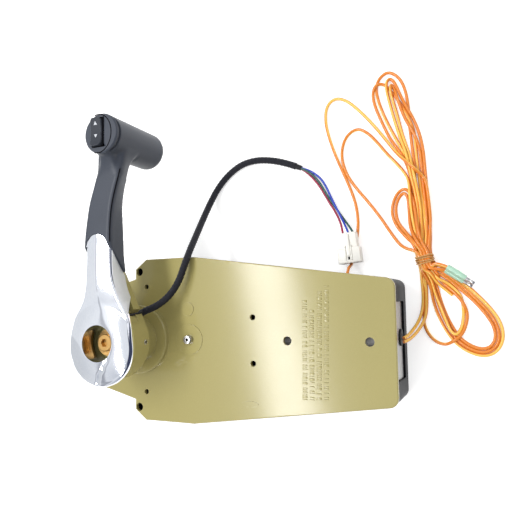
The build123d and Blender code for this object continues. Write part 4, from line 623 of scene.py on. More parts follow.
class Lathe:
    """Profiles that are turned round an axis or swept along a line."""

    @staticmethod
    def turned(bm: bmesh.types.BMesh, profile: Sequence[tuple[float, float]], place: Matrix,
               sides: int = 48) -> None:
        """Adds a turned solid.

        Args:
            bm: The mesh that takes the faces.
            profile: Pairs of radius and height in millimetres; radius 0 closes an end.
            place: The matrix from the profile's frame, with Z its axis, to the row frame in metres.
            sides: How many faces go round.
        """
        rings = []
        for radius, height in profile:
            if radius <= 0:
                rings.append([bm.verts.new(place @ Vector((0, 0, height * MM)))])
                continue
            rings.append([bm.verts.new(place @ Vector((radius * MM * math.cos(math.tau * i / sides),
                                                       radius * MM * math.sin(math.tau * i / sides),
                                                       height * MM))) for i in range(sides)])
        for a, b in zip(rings, rings[1:]):
            for i in range(sides):
                j = (i + 1) % sides
                corners = [a[i % len(a)], a[j % len(a)], b[j % len(b)], b[i % len(b)]]
                unique = list(dict.fromkeys(corners))
                if len(unique) > 2:
                    bm.faces.new(unique)

    @staticmethod
    def spline_path(route: Sequence[Point], step: int = 10) -> list[Vector]:
        """Reads the smooth line of a route's NURBS spline.

        Args:
            route: Control points in millimetres.
            step: Points per span of the spline.

        Returns:
            Points along the line, in metres.
        """
        curve = bpy.data.curves.new("route", "CURVE")
        curve.dimensions = "3D"
        spline = curve.splines.new("NURBS")
        spline.points.add(len(route) - 1)
        for point, at in zip(spline.points, route):
            point.co = (at[0] * MM, at[1] * MM, at[2] * MM, 1.0)
        spline.order_u = 3
        spline.use_endpoint_u = True
        spline.resolution_u = step
        holder = linked("route", curve)
        mesh = bpy.data.meshes.new_from_object(holder)
        path = [v.co.copy() for v in mesh.vertices]
        bpy.data.objects.remove(holder)
        bpy.data.curves.remove(curve)
        bpy.data.meshes.remove(mesh)
        kept = [path[0]]
        for point in path[1:]:
            if (point - kept[-1]).length > 1e-5:
                kept.append(point)
        return kept

    @staticmethod
    def tube(bm: bmesh.types.BMesh, path: Sequence[Vector], radius: Callable[[float, float], float],
             sides: int = 14, squash: float = 1.0) -> float:
        """Adds a tube along a path, with U along it in metres and V round it.

        Args:
            bm: The mesh that takes the faces.
            path: Points in metres.
            radius: Gives the radius in metres at a distance and an angle fraction.
            sides: How many faces go round.
            squash: Thickness across the second axis over that across the first.

        Returns:
            The path's length in metres.
        """
        layer = bm.loops.layers.uv.verify()
        tangents = []
        for i in range(len(path)):
            a, b = path[max(i - 1, 0)], path[min(i + 1, len(path) - 1)]
            tangents.append((b - a).normalized())
        side = tangents[0].orthogonal().normalized()
        rings, lengths, run = [], [], 0.0
        for i, (point, tangent) in enumerate(zip(path, tangents)):
            if i:
                run += (point - path[i - 1]).length
                side = (tangents[i - 1].rotation_difference(tangent) @ side)
            side = (side - tangent * side.dot(tangent)).normalized()
            other = tangent.cross(side)
            ring = []
            for k in range(sides):
                angle = math.tau * k / sides
                r = radius(run, k / sides)
                ring.append(bm.verts.new(point + side * (math.cos(angle) * r)
                                         + other * (math.sin(angle) * r * squash)))
            rings.append(ring)
            lengths.append(run)
        for i in range(len(rings) - 1):
            for k in range(sides):
                j = (k + 1) % sides
                face = bm.faces.new((rings[i][k], rings[i][j], rings[i + 1][j], rings[i + 1][k]))
                spots = ((i, k), (i, k + 1), (i + 1, k + 1), (i + 1, k))
                for loop, (row, column) in zip(face.loops, spots):
                    loop[layer].uv = (lengths[row], column / sides)
        bm.faces.new(list(reversed(rings[0])))
        bm.faces.new(rings[-1])
        return run


def cad_copy(node: str) -> bpy.types.Mesh:
    """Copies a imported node's mesh, for a piece that stands for it."""
    return frame["nodes"][node].data.copy()


def loft(bm: bmesh.types.BMesh, sections: Sequence[Sequence[Point]]) -> None:
    """Skins closed sections, in millimetres, one after the other, and caps both ends.

    Args:
        bm: The mesh that takes the skin.
        sections: The sections, each with the same number of points.
    """
    rings = [[bm.verts.new(Vector(p) * MM) for p in section] for section in sections]
    for one, two in zip(rings, rings[1:]):
        for i in range(len(one)):
            j = (i + 1) % len(one)
            bm.faces.new((one[i], one[j], two[j], two[i]))
    bm.faces.new(list(reversed(rings[0])))
    bm.faces.new(rings[-1])


def rounded_box(bm: bmesh.types.BMesh, low: Point, high: Point, edge: float, place: Matrix,
                segments: int = 3) -> None:
    """Adds a box with rounded edges.

    Args:
        bm: The mesh that takes the faces.
        low: Lowest corner in millimetres.
        high: Highest corner in millimetres.
        edge: Edge radius in millimetres.
        place: Matrix to the row frame, in metres.
        segments: Faces across each rounded edge.
    """
    made = bmesh.ops.create_cube(bm, size=1.0)
    verts = made["verts"]
    for v in verts:
        v.co = Vector([(low[i] + high[i]) / 2 + v.co[i] * (high[i] - low[i]) for i in range(3)]) * MM
    edges = list({e for v in verts for e in v.link_edges})
    result = bmesh.ops.bevel(bm, geom=edges, offset=edge * MM, segments=segments, profile=0.5,
                             affect="EDGES", clamp_overlap=True)
    touched = {v for f in result["faces"] for v in f.verts} | {v for v in verts if v.is_valid}
    for v in touched:
        v.co = place @ v.co


# ---------------------------------------------------------------------------------------------- studio


@dataclass
class Studio:
    """Camera, lamps, floor and world."""

    camera_at: Point = (281.0, 29.7, 430.0)
    camera_right: Point = (0.9142, -0.0169, -0.4049)
    camera_up: Point = (0.0455, 0.9971, 0.0612)
    lens: float = 38.215
    sensor: float = 36.0
    floor_half: float = 6.0
    ambient: float = 0.62

    def camera(self) -> None:
        """Places the camera."""
        data = bpy.data.cameras.new("camera")
        data.lens = self.lens
        data.sensor_width = self.sensor
        data.sensor_fit = "HORIZONTAL"
        data.clip_start = 0.01
        made = linked("camera", data)
        right, up = Vector(self.camera_right).normalized(), Vector(self.camera_up)
        back = right.cross(up).normalized()
        up = back.cross(right)
        turn = Matrix((right, up, back)).transposed()
        made.matrix_world = Matrix.Translation(Vector(self.camera_at) * MM) @ turn.to_4x4()
        bpy.context.scene.camera = made

    def lamp(self, name: str, at: Point, aim: Point, size: tuple[float, float], power: float,
             gloss_only: bool = False) -> None:
        """Adds a soft rectangular lamp.

        Args:
            name: The lamp's name.
            at: Its place in millimetres.
            aim: The point it faces, in millimetres.
            size: Its width and height in metres.
            power: Its power in watts.
            gloss_only: Whether only glossy surfaces show it.
        """
        data = bpy.data.lights.new(name, "AREA")
        data.shape = "RECTANGLE"
        data.size, data.size_y = size
        data.energy = power
        made = linked(name, data)
        made.location = Vector(at) * MM
        away = (Vector(aim) - Vector(at)).normalized()
        made.rotation_euler = away.to_track_quat("-Z", "Y").to_euler()
        data.diffuse_factor = 0.0 if gloss_only else 1.0

    @staticmethod
    def seen_directly(g: Graph) -> bpy.types.NodeSocket:
        """Gives 1 for rays from the camera, a gloss or through glass."""
        path = g.add("LightPath").outputs
        seen = g.math("ADD", path["Is Camera Ray"], path["Is Glossy Ray"], True)
        return g.math("ADD", seen, path["Is Transmission Ray"], True)

    def floor(self) -> None:
        """Lays a white floor that shows white and keeps soft shadows."""
        bm = bmesh.new()
        bmesh.ops.create_grid(bm, x_segments=2, y_segments=2, size=self.floor_half)
        mesh = bpy.data.meshes.new("floor")
        bm.to_mesh(mesh)
        bm.free()
        made = linked("floor", mesh)
        material = bpy.data.materials.new("white_floor")
        material.use_nodes = True
        material.node_tree.nodes.clear()
        g = Graph(material.node_tree)
        plain = g.add("BsdfDiffuse", None, Color=(0.82, 0.82, 0.82)).outputs[0]
        glow = g.add("Emission", None, Color=(1.0, 1.0, 1.0), Strength=0.5).outputs[0]
        both = g.add("AddShader", None, i0=plain, i1=glow).outputs[0]
        pick = g.add("MixShader", None, i0=self.seen_directly(g), i1=plain, i2=both)
        g.add("OutputMaterial", None, Surface=pick.outputs[0])
        mesh.materials.append(material)

    def world(self) -> None:
        """Sets a white world; gloss also sees the room's soft grey bands in it."""
        world = bpy.data.worlds.new("studio")
        bpy.context.scene.world = world
        world.use_nodes = True
        world.node_tree.nodes.clear()
        g = Graph(world.node_tree)
        soft = g.add("Background", None, Color=(1.0, 1.0, 1.0), Strength=self.ambient).outputs[0]
        seen = g.add("Background", None, Color=(1.0, 1.0, 1.0), Strength=1.0).outputs[0]
        way = g.add("SeparateXYZ", None, Vector=g.add("TexCoord").outputs["Generated"])
        shade = g.mix(g.ramp(way.outputs[0], -0.95, -0.5), (0.68, 0.7, 0.73), (0.86, 0.88, 0.92))
        low = g.math("MULTIPLY", g.ramp(way.outputs[1], -0.25, -0.6), g.ramp(way.outputs[0], -0.7, 0.1))
        shade = g.mix(low, shade, (0.42, 0.45, 0.52))
        ridge = g.math("MULTIPLY", g.ramp(way.outputs[0], -0.66, -0.6), g.ramp(way.outputs[0], -0.5, -0.55))
        shade = g.mix(g.math("MULTIPLY", ridge, 0.6), shade, (0.12, 0.13, 0.18))
        side = g.math("MULTIPLY", g.ramp(way.outputs[0], 0.1, 0.22), g.ramp(way.outputs[2], 0.02, 0.12))
        shade = g.mix(side, shade, (0.05, 0.06, 0.11))
        gloss = g.add("Background", None, Color=shade, Strength=1.0).outputs[0]
        path = g.add("LightPath").outputs
        pick = g.add("MixShader", None, i0=path["Is Glossy Ray"], i1=soft, i2=gloss).outputs[0]
        clear = g.math("ADD", path["Is Camera Ray"], path["Is Transmission Ray"], True)
        pick = g.add("MixShader", None, i0=clear, i1=pick, i2=seen)
        g.add("OutputWorld", None, Surface=pick.outputs[0])

    def build(self) -> None:
        """Builds the whole studio."""
        self.camera()
        self.lamp("strip", (-265, -71, 1010), (120, 0, 45), (1.2, 0.12), 8.0, True)
        self.lamp("key", (500, 600, 900), (60, 60, 30), (0.9, 0.9), 2.4)
        self.lamp("fill", (-500, 300, 500), (0, 60, 60), (0.8, 0.8), 0.3)
        self.floor()
        self.world()
        bpy.context.scene.view_settings.view_transform = "Standard"
        log.info("studio built")


# ---------------------------------------------------------------------------------------------- cords


@dataclass
class Cord:
    """A free cord: its route, real size and ends."""

    name: str
    route: Sequence[Point]
    diameter: float
    length: float
    exit: Point
    far_end: str
    finish: Finish
    replaces: Sequence[str] = ()
    with_pieces: Sequence[bpy.types.Object] = ()
    stiffness: str = "medium"
    lay: str = "loose"
    sides: int = 14
    step: int = 8
    bands: float = 0.0
    band_pitch: float = 0.0031
    piece: Piece | None = None
    path: list[Vector] = field(default_factory=list)

    def build(self) -> bpy.types.Object:
        """Builds the tube along its spline.

        Returns:
            The tube's object.
        """
        self.path = Lathe.spline_path(self.route, self.step)
        half = self.diameter * MM / 2
        bm = bmesh.new()

        def radius(run: float, turn: float) -> float:
            """Gives the tube's radius, with the slight bands of a braid."""
            return half * (1.0 + self.bands * math.sin(run * math.tau / self.band_pitch))

        real = Lathe.tube(bm, self.path, radius, self.sides)
        self.piece = Piece(self.name, self.finish, Body.MODULE, self.replaces)
        made = self.piece.from_bmesh(bm, angle=60.0)
        log.info("%s: %.1f mm along its line", self.name, real / MM)
        return made

    def declare(self) -> None:
        """Does nothing."""


@dataclass
class Harness:
    """The trim harness: braided sleeve, its end collar, three wires and the plug."""

    sleeve_d: float = 5.5
    wire_d: float = 1.8
    sleeve_route: Sequence[Point] = (
        (18.6, 21.6, 69.6), (21.8, 23.4, 69.0), (25.3, 24.8, 67.4), (29.6, 27.4, 63.5), (35.1, 32.5, 59.0),
        (40.3, 39.4, 56.0), (45.0, 48.5, 54.0), (48.4, 59.6, 52.4), (49.8, 70.8, 47.0), (48.6, 84.6, 34.4),
        (47.6, 101.0, 20.0), (48.9, 116.2, 9.5), (53.4, 129.1, 4.2), (62.5, 139.7, 3.2), (74.5, 147.6, 3.2),
        (87.3, 150.6, 3.2), (100.9, 149.7, 3.2), (116.6, 145.6, 3.2), (126.6, 141.2, 3.2),
    )
    blue_route: Sequence[Point] = (
        (131.6, 139.0, 3.6), (134.4, 138.0, 3.4), (138.5, 136.2, 2.6), (142.6, 133.4, 1.6),
        (147.9, 128.6, 1.2), (151.9, 121.6, 1.2), (155.8, 112.6, 1.8), (160.4, 103.2, 3.2),
        (165.4, 93.6, 4.6), (168.6, 87.0, 6.6), (170.6, 82.2, 7.4),
    )
    red_route: Sequence[Point] = (
        (131.2, 138.6, 2.8), (133.6, 137.1, 2.8), (137.0, 134.0, 1.6), (142.3, 128.2, 1.2),
        (147.0, 121.6, 1.2), (150.5, 115.2, 1.2), (154.4, 108.0, 1.2), (159.2, 100.4, 1.8),
        (163.2, 92.6, 4.0), (165.4, 86.8, 6.4), (166.2, 82.2, 7.4),
    )
    green_route: Sequence[Point] = (
        (131.8, 138.4, 4.2), (134.7, 137.2, 3.8), (139.1, 134.3, 3.0), (143.4, 129.8, 2.2),
        (147.3, 124.4, 1.6), (151.3, 116.8, 1.4), (156.2, 108.4, 1.2), (161.8, 100.2, 1.2),
        (168.0, 91.6, 4.0), (172.2, 86.2, 6.6), (174.4, 82.2, 7.4),
    )
    thin_d: float = 2.0
    thin_route: Sequence[Point] = (
        (19.6, 20.4, 93.4), (20.2, 20.6, 88.0), (21.0, 21.1, 82.6), (21.8, 21.9, 78.0), (22.2, 22.7, 73.6),
        (21.6, 22.9, 69.9), (19.2, 21.8, 69.6),
    )
    sleeve_length: float = 222.0
    wire_lengths: tuple[float, float, float] = (69.0, 64.0, 67.0)
    blend_start: Point = (21.0, 19.0, 70.0)
    blend_end: Point = (47.0, 84.0, 44.0)

    def collar(self) -> bpy.types.Object:
        """Builds the shrunk collar on the sleeve's end."""
        end, before = Vector(self.sleeve_route[-1]), Vector(self.sleeve_route[-2])
        way = (end - before).normalized()
        place = Matrix.Translation((end - way * 1.0) * MM) @ way.to_track_quat("Z", "Y").to_matrix().to_4x4()
        profile = [(0, -2.0), (2.72, -2.0), (2.6, 0.6), (2.2, 1.4), (2.05, 6.0), (1.8, 6.6), (0, 6.6)]
        return Piece("sleeve_collar", Shelf.rubber, Body.MODULE).turned(profile, place, 28)

    def build(self) -> None:
        """Builds the harness and its cords."""
        bm = bmesh.new()
        Lathe.tube(bm, Lathe.spline_path(self.thin_route, 8), lambda run, turn: self.thin_d * MM / 2, 14)
        Piece("harness_lead_line", Shelf.rubber, Body.LEVER, ("harness_lead",)).add(bm, angle=60.0)
        collar = self.collar()
        plug = Connector().build()
        sleeve = Cord("trim_sleeve_braid", self.sleeve_route, self.sleeve_d, self.sleeve_length,
                      self.sleeve_route[0], "fitting", Shelf.braid, ("trim_sleeve",), (collar,),
                      sides=24, step=16, bands=0.035)
        made = sleeve.build()
        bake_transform(made)
        sleeve.piece.declare()
        sleeve.declare()
        wires = (("trim_wire_blue", self.blue_route, Shelf.blue),
                 ("trim_wire_red", self.red_route, Shelf.red),
                 ("trim_wire_green", self.green_route, Shelf.green))
        for (node, route, finish), length in zip(wires, self.wire_lengths):
            wire = Cord(node + "_line", route, self.wire_d, length, route[0], "connector", finish, (node,),
                        (plug,), sides=12, step=10)
            wire.build()
            wire.piece.settle()
            wire.declare()


@dataclass
class Connector:
    """The ivory three-way plug on the trim wires."""

    at: Point = (171.2, 70.0, 3.2)
    turn: float = 6.0
    front: Point = (18.0, 12.0, 9.0)
    rear: Point = (14.5, 12.0, 8.0)
    pitch: float = 5.2
    hole: tuple[float, float] = (2.6, 2.2)

    def build(self) -> bpy.types.Object:
        """Builds the plug.

        Returns:
            The plug's object.
        """
        place = placed(self.at, self.turn)
        bm = bmesh.new()
        w, l, h = self.front
        rounded_box(bm, (-w / 2, -l, 0), (w / 2, 0, h), 0.7, place)
        w, l, h = self.rear
        rounded_box(bm, (-w / 2, -1.0, 0.2), (w / 2, l, h), 0.6, place)
        for side in (-1, 1):
            rounded_box(bm, (side * 2.3 - 0.45, -9.6, 8.4), (side * 2.3 + 0.45, 1.5, 10.0), 0.3, place)
            rounded_box(bm, (side * 8.2 - 0.6, -11.5, 2.0), (side * 8.2 + 0.9, -1.0, 7.4), 0.4, place)
        rounded_box(bm, (-1.5, -6.5, 8.4), (1.5, 10.5, 9.5), 0.35, place)
        made = Piece("trim_plug", Shelf.ivory, Body.MODULE, ("trim_connector",)).add(bm)
        self.holes(place)
        return made

    def holes(self, place: Matrix) -> None:
        """Builds near-black sheets of painted shade in the mouths of the plug's front and the slot beside its
        latch.
        """
        bm = bmesh.new()
        w, h = self.hole
        for k in (-1, 0, 1):
            rounded_box(bm, (k * self.pitch - w / 2, -12.06, 3.4), (k * self.pitch + w / 2, -11.4, 3.4 + h),
                        0.2, place, 2)
        rounded_box(bm, (-0.8, -9.4, 8.8), (0.8, -7.0, 9.06), 0.1, place, 2)
        # painted shade inside the plug's holes
        Piece("plug_mouth_shade", Shelf.dark, Body.MODULE).add(bm)


@dataclass
class Leads:
    """The three neutral-switch leads, tied in one hank, with the bundle's tie and the bullet ends."""

    diameter: float = 2.4
    lengths: tuple[float, float, float] = (1102.0, 1170.0, 773.0)
    floor_z: float = 1.2
    lead_a: Sequence[Sequence[float]] = (
        (214, -0.9, 28), (216.8, 0.2, 24.6), (220, 3.4, 17.6), (223.4, 8.6, 9.6), (226.4, 15.2, 3.8),
        (227.4, 23.6), (227.6, 33.8, 1.3), (227.2, 43.3), (225.5, 51, 1.3), (224.1, 57.9, 1.3),
        (222.6, 64.7, 1.3), (220.6, 79.9), (221.9, 95.3), (222.3, 112.2), (222.5, 130.1),
        (220.8, 148.5, 1.3), (219.6, 164), (219.6, 176), (217.7, 191.5), (213.2, 202.4), (205, 208.6),
        (198.2, 204.8), (195.2, 198.9), (195.1, 192.5), (197.4, 182.3), (201.9, 169.8), (208.2, 155.6),
        (213.7, 144.4), (218.9, 133.4), (223.1, 119.9, 4.2), (225.1, 100.6), (226.6, 78.1),
        (227.3, 65.7, 1.3), (228.8, 58.8, 1.3), (230.2, 52, 1.3), (233.5, 49.9), (243.2, 43.8),
        (251.6, 35.8), (260.4, 27.4), (268, 17.9), (272.8, 9.5), (273.9, 1.7), (271.6, -4.1),
        (267.1, -7.1), (260.7, -6.6), (253.5, -2.8, 1.3), (248.7, 1.9), (245.6, 7.1), (241.3, 16.1),
        (237.3, 28, 1.3), (235.2, 39.1), (229.1, 51.8, 3.6), (227.6, 58.6, 3.6), (226.1, 65.4, 3.6),
        (225.2, 80, 3.4), (226, 96.1, 3.4), (223.9, 112.1, 5.6), (221.3, 127.2, 5.8), (219.1, 139.1),
        (216.3, 148.7), (213.4, 159.2), (210.5, 173.7, 1.3), (208, 183.3), (206.4, 191.9, 4.4),
        (206.7, 198.4), (209.5, 192.6), (211.7, 185, 4.4), (214.5, 174.2, 2.1), (218.4, 164.6, 3.7),
        (224, 153.7, 4.1), (226.9, 143.2), (227.4, 128.3, 1.3), (228.4, 112.2), (229.7, 95.2, 2.5),
        (229.9, 79.1, 3.6), (228.5, 65.9, 3.6), (229.9, 59.1, 3.6), (231.4, 52.3, 3.6), (236, 44.1, 5.1),
        (240.8, 42.5, 2.8), (246.6, 37.6), (251.3, 32), (252.9, 25), (252.9, 16.3), (251.4, 8.2),
        (247.9, 2.7, 3.9), (244, 4.9, 3.5), (240.8, 13.5, 3.5), (237.5, 23.4, 3.2), (234, 33.3, 3.6),
        (232.1, 42.8, 3.8), (227.9, 51.5, 5.9), (226.4, 58.4, 5.9), (225, 65.2, 5.9), (220.8, 71.3, 6.2),
        (214.4, 79.8), (208, 88.4), (206.7, 99), (208.9, 106.6), (213.4, 111.4), (216.6, 107.5, 1.3),
        (217, 96.7), (217.5, 82.9, 3.4), (222.5, 72.3, 7.4), (227.3, 65.7, 5.9), (228.8, 58.8, 5.9),
        (230.2, 52, 5.9), (235.5, 51.6, 5.4), (241.9, 50.2, 4),
    )
    lead_b: Sequence[Sequence[float]] = (
        (214, 1.8, 28), (216.4, 3.2, 24.2), (218.8, 6.8, 17), (221.4, 11.8, 9), (223.6, 18.2, 3.2),
        (224.8, 25.6, 1.3), (225, 34.5), (224, 44.5), (223.2, 50.5, 1.3), (221.7, 57.4, 1.3),
        (220.3, 64.2, 1.3), (218.6, 78.5), (219.5, 95, 1.3), (219.9, 108), (219.8, 121.1), (216, 134.8),
        (210.6, 145.1), (204.5, 154.2), (198.2, 169.4), (193.4, 182.5), (192, 191.4), (194.3, 197.1, 4.2),
        (198.5, 199.3, 2.4), (202.8, 197.5), (206.5, 192.1), (211.5, 184.6), (216, 177.2),
        (219.7, 168.5, 4.3), (223.2, 157.9), (223.9, 143.6), (225.1, 124.7), (226.7, 104.7),
        (228.8, 83.8), (229.7, 66.2, 1.3), (231.1, 59.3, 1.3), (232.6, 52.5, 1.3), (237.7, 50.9),
        (243.2, 46.4), (254, 37.2), (264.4, 26.3), (272.5, 15.9), (276.1, 6.4), (276, -0.3),
        (273.6, -5.6), (267.6, -9.6), (260.8, -9.1), (252.6, -5.1), (246.4, 0.8), (241.5, 9.9),
        (237.4, 19.7), (234.4, 30.3), (232.4, 39.7), (226.7, 51.3, 3.6), (225.3, 58.1, 3.6),
        (223.8, 64.9, 3.6), (223, 79.9, 5.5), (223.7, 95.5, 2.2), (222.3, 109.8, 4.1),
        (219.3, 123.9, 3.7), (216.9, 140.4, 3.8), (212.6, 153), (209.2, 165.7), (206.2, 178.3),
        (203.8, 189.8), (203.2, 197.6, 4.5), (205.4, 202.8), (208.7, 200.2), (211.2, 194.6),
        (214.5, 185.2), (219.1, 175.4, 4.4), (223.2, 166.7), (226.8, 156.1), (229.2, 142.9),
        (229.9, 128.1), (230.8, 111.9), (231.5, 93.9, 1.3), (232.4, 78), (232, 66.7, 1.3),
        (233.5, 59.8, 1.3), (234.9, 53, 1.3), (238.2, 55.3), (243.4, 49.5), (252.6, 41.8), (263.2, 31.5),
        (272.6, 20.3), (277.6, 11.3), (279, 2.3), (276.6, -5.4), (272, -10.1), (266.3, -12.1),
        (258.8, -10.9), (249.5, -6), (242.7, 2), (237.8, 11.2), (234.2, 20), (231.6, 30.5),
        (231, 38.9, 3.3), (226.8, 46.3, 3.7), (224.4, 50.8, 3.6), (222.9, 57.6, 3.6), (221.4, 64.4, 3.6),
        (219.1, 71.3, 3.7), (214, 76.4), (206.5, 86.1, 1.3), (203.4, 97.9), (207.2, 109.6, 1.3),
        (213, 114.4), (217.5, 112, 2.5), (220.6, 105.5, 3.9), (222, 94.4, 4.5), (223.5, 81.1, 7.8),
        (226.4, 70.6, 5.5), (229.7, 66.2, 5.9), (231.1, 59.3, 5.9), (232.6, 52.5, 5.9), (236.9, 56.6, 7),
        (243.6, 52.2, 7.5),
    )
    lead_c: Sequence[Sequence[float]] = (
        (171.6, 49.1, 17), (171.6, 52.6, 15.2), (171.6, 55, 10.6), (171.7, 56.6, 5), (172.2, 61, 1.4),
        (174, 69.4, 1.3), (176.4, 80, 1.3), (177.6, 92, 1.3), (175.8, 107), (169.7, 123.9),
        (162.5, 140.9), (156.4, 158), (152.4, 175), (153.6, 188.4), (161, 194.4), (171, 190.8),
        (182, 179.6), (192.8, 166.2, 1.3), (201.8, 153.3), (210.3, 140.8, 1.5), (220.5, 130.3, 8.6),
        (228.1, 122, 2.9), (230.7, 117.5, 3.8), (232.2, 101.2, 3.3), (232.9, 85.6, 3.5),
        (230.8, 66.4, 3.6), (232.3, 59.6, 3.6), (233.8, 52.8, 3.6), (236.7, 47, 3.5), (237.1, 43.8),
        (242.6, 37.9), (248, 32.8, 2.3), (253.3, 26.3, 4.3), (255.8, 18), (254.4, 10), (251.4, 3.2, 2.9),
        (246.6, -0.9, 4.3), (240, -4.7), (233.6, -2.9), (228.5, 1.9, 1.3), (225, 9.4), (224.9, 16.1),
        (226.5, 25.3), (227.1, 35.8, 1.3), (224.9, 43.3), (227.9, 51.5, 1.3), (226.4, 58.4, 1.3),
        (225, 65.2, 1.3), (221.8, 76.2, 3.5), (219.1, 94.3, 3.3), (218.8, 107.9, 6.7), (217.6, 120.9),
        (214, 127.6), (208, 135.5), (202, 142.4), (195.6, 151.4), (187.8, 161.2), (178.6, 167),
        (168.6, 160.6), (164.8, 146.6), (168.2, 131.7), (175.6, 119.4), (185.6, 106.6), (195, 93.4),
        (203.6, 79), (211.3, 68.3, 3.6), (222.6, 64.7, 5.9), (224.1, 57.9, 5.9), (225.5, 51, 5.9),
        (232, 48.8, 8.2), (234.9, 42.2, 4.1), (240.7, 36.5, 2.2), (246, 31.6, 1.4),
    )
    tie_at: Point = (227.6, 58.6, 0.0)
    tie_turn: float = 12.0
    tie_half: tuple[float, float] = (6.7, 7.9)
    tie_pull: float = 0.2
    tie_reach: float = 12.0
    tie_catch: float = 12.0
    tie_turns: int = 4
    tie_steps: int = 44
    tie_width: float = 6.4
    tie_lean: float = 0.35
    tie_strip: tuple[float, float] = (0.75, 0.62)
    bullet_ends: Sequence[Point] = ((243.6, 52.2, 7.5), (241.9, 50.2, 4.0))
    bullet_turn: float = -35.0

    def bullet(self, number: int, at: Point) -> list[bpy.types.Object]:
        """Builds one bullet terminal: a clear sleeve over a crimped barrel and its pin.

        Args:
            number: The terminal's number.
            at: The place where its lead enters.

        Returns:
            The sleeve's and the pin's objects.
        """
        place = placed(at, self.bullet_turn) @ placed((0, 0, 0), 90.0, "Y")
        outer = [(1.3, -0.2), (2.05, 0.0), (2.2, 0.6), (2.2, 9.0), (2.0, 11.5), (2.0, 14.6), (1.8, 15.0)]
        inner = [(1.55, 15.0), (1.7, 11.5), (1.9, 9.0), (1.9, 0.6), (1.3, -0.2)]
        sleeve = Piece(f"bullet_sleeve_{number}", Shelf.sleeve, Body.MODULE, ("bullet_sleeves",))
        made = [sleeve.turned(outer + inner, place, 28)]
        pin = [(0, 1.0), (1.2, 1.0), (1.45, 1.5), (1.45, 6.0), (1.15, 7.0), (1.15, 8.0), (1.45, 9.0),
               (1.5, 17.0), (1.25, 17.8), (1.25, 18.4), (1.5, 19.0), (1.5, 21.0), (1.1, 21.8), (0.5, 22.0),
               (0, 22.0)]
        metal = Piece(f"bullet_pin_{number}", Shelf.steel, Body.MODULE, ("bullet_pins",))
        return [*made, metal.turned(pin, place, 24)]

    def drawn_in(self, route: Sequence[Sequence[float]]) -> list[Point]:
        """Draws a route in toward the bundle's middle where it nears the tie.

        Args:
            route: The route in millimetres; a point without a height lies on the floor.

        Returns:
            The route, closer to the tie's middle near it.
        """
        turn = math.radians(self.tie_turn)
        side, way = (math.cos(turn), math.sin(turn)), (-math.sin(turn), math.cos(turn))
        out = []
        for x, y, z in ((*point, self.floor_z)[:3] for point in route):
            dx, dy = x - self.tie_at[0], y - self.tie_at[1]
            across, along = dx * side[0] + dy * side[1], dx * way[0] + dy * way[1]
            caught = abs(across) < self.tie_catch
            pull = self.tie_pull * math.exp(-(along / self.tie_reach) ** 2) if caught else 0.0
            out.append((x - across * pull * side[0], y - across * pull * side[1], z))
        return out

    def tie(self) -> bpy.types.Object:
        """Builds the tie: turns of a flat strip round the bundle, with its ends tucked under."""
        half_w, height = self.tie_half
        along = placed(self.tie_at, self.tie_turn)
        path = []
        turns, steps = self.tie_turns, self.tie_steps
        for k in range(turns * steps + 1):
            angle = math.tau * k / steps - math.pi / 2
            c, s = math.cos(angle), math.sin(angle)
            across = math.copysign(abs(c) ** 0.55, c) * (half_w - 0.3)
            up = (math.copysign(abs(s) ** 0.6, s) + 1) / 2 * (height - 0.8) + 0.4
            run = (k / (turns * steps) - 0.5) * self.tie_width
            lean = self.tie_lean * math.sin(2.3 * angle)
            path.append(along @ (Vector((across, run + lean, up)) * MM))
        bm = bmesh.new()
        strip_r, squash = self.tie_strip
        Lathe.tube(bm, path, lambda run, turn: strip_r * MM, 10, squash)
        return Piece("hank_tie_strip", Shelf.tan, Body.MODULE, ("hank_tie",)).add(bm)

    def build(self) -> None:
        tie = self.tie()
        ends = [self.bullet(n + 1, at) for n, at in enumerate(self.bullet_ends)]
        plans = (
            ("lead_a_line", self.lead_a, "connector", ("lead_a", "hank_upper"), (*ends[1], tie)),
            ("lead_b_line", self.lead_b, "connector", ("lead_b", "hank_lower"), (*ends[0], tie)),
            ("lead_c_line", self.lead_c, "bare", ("lead_c", "lead_c_loop"), (tie,)),
        )
        for (name, route, far_end, nodes, with_pieces), length in zip(plans, self.lengths):
            cord = Cord(name, self.drawn_in(route), self.diameter, length, route[0], far_end,
                        Shelf.orange, nodes, with_pieces, lay="coiled", sides=14, step=7)
            cord.build()
            cord.piece.settle()
            cord.declare()


# ---------------------------------------------------------------------------------------------- lever


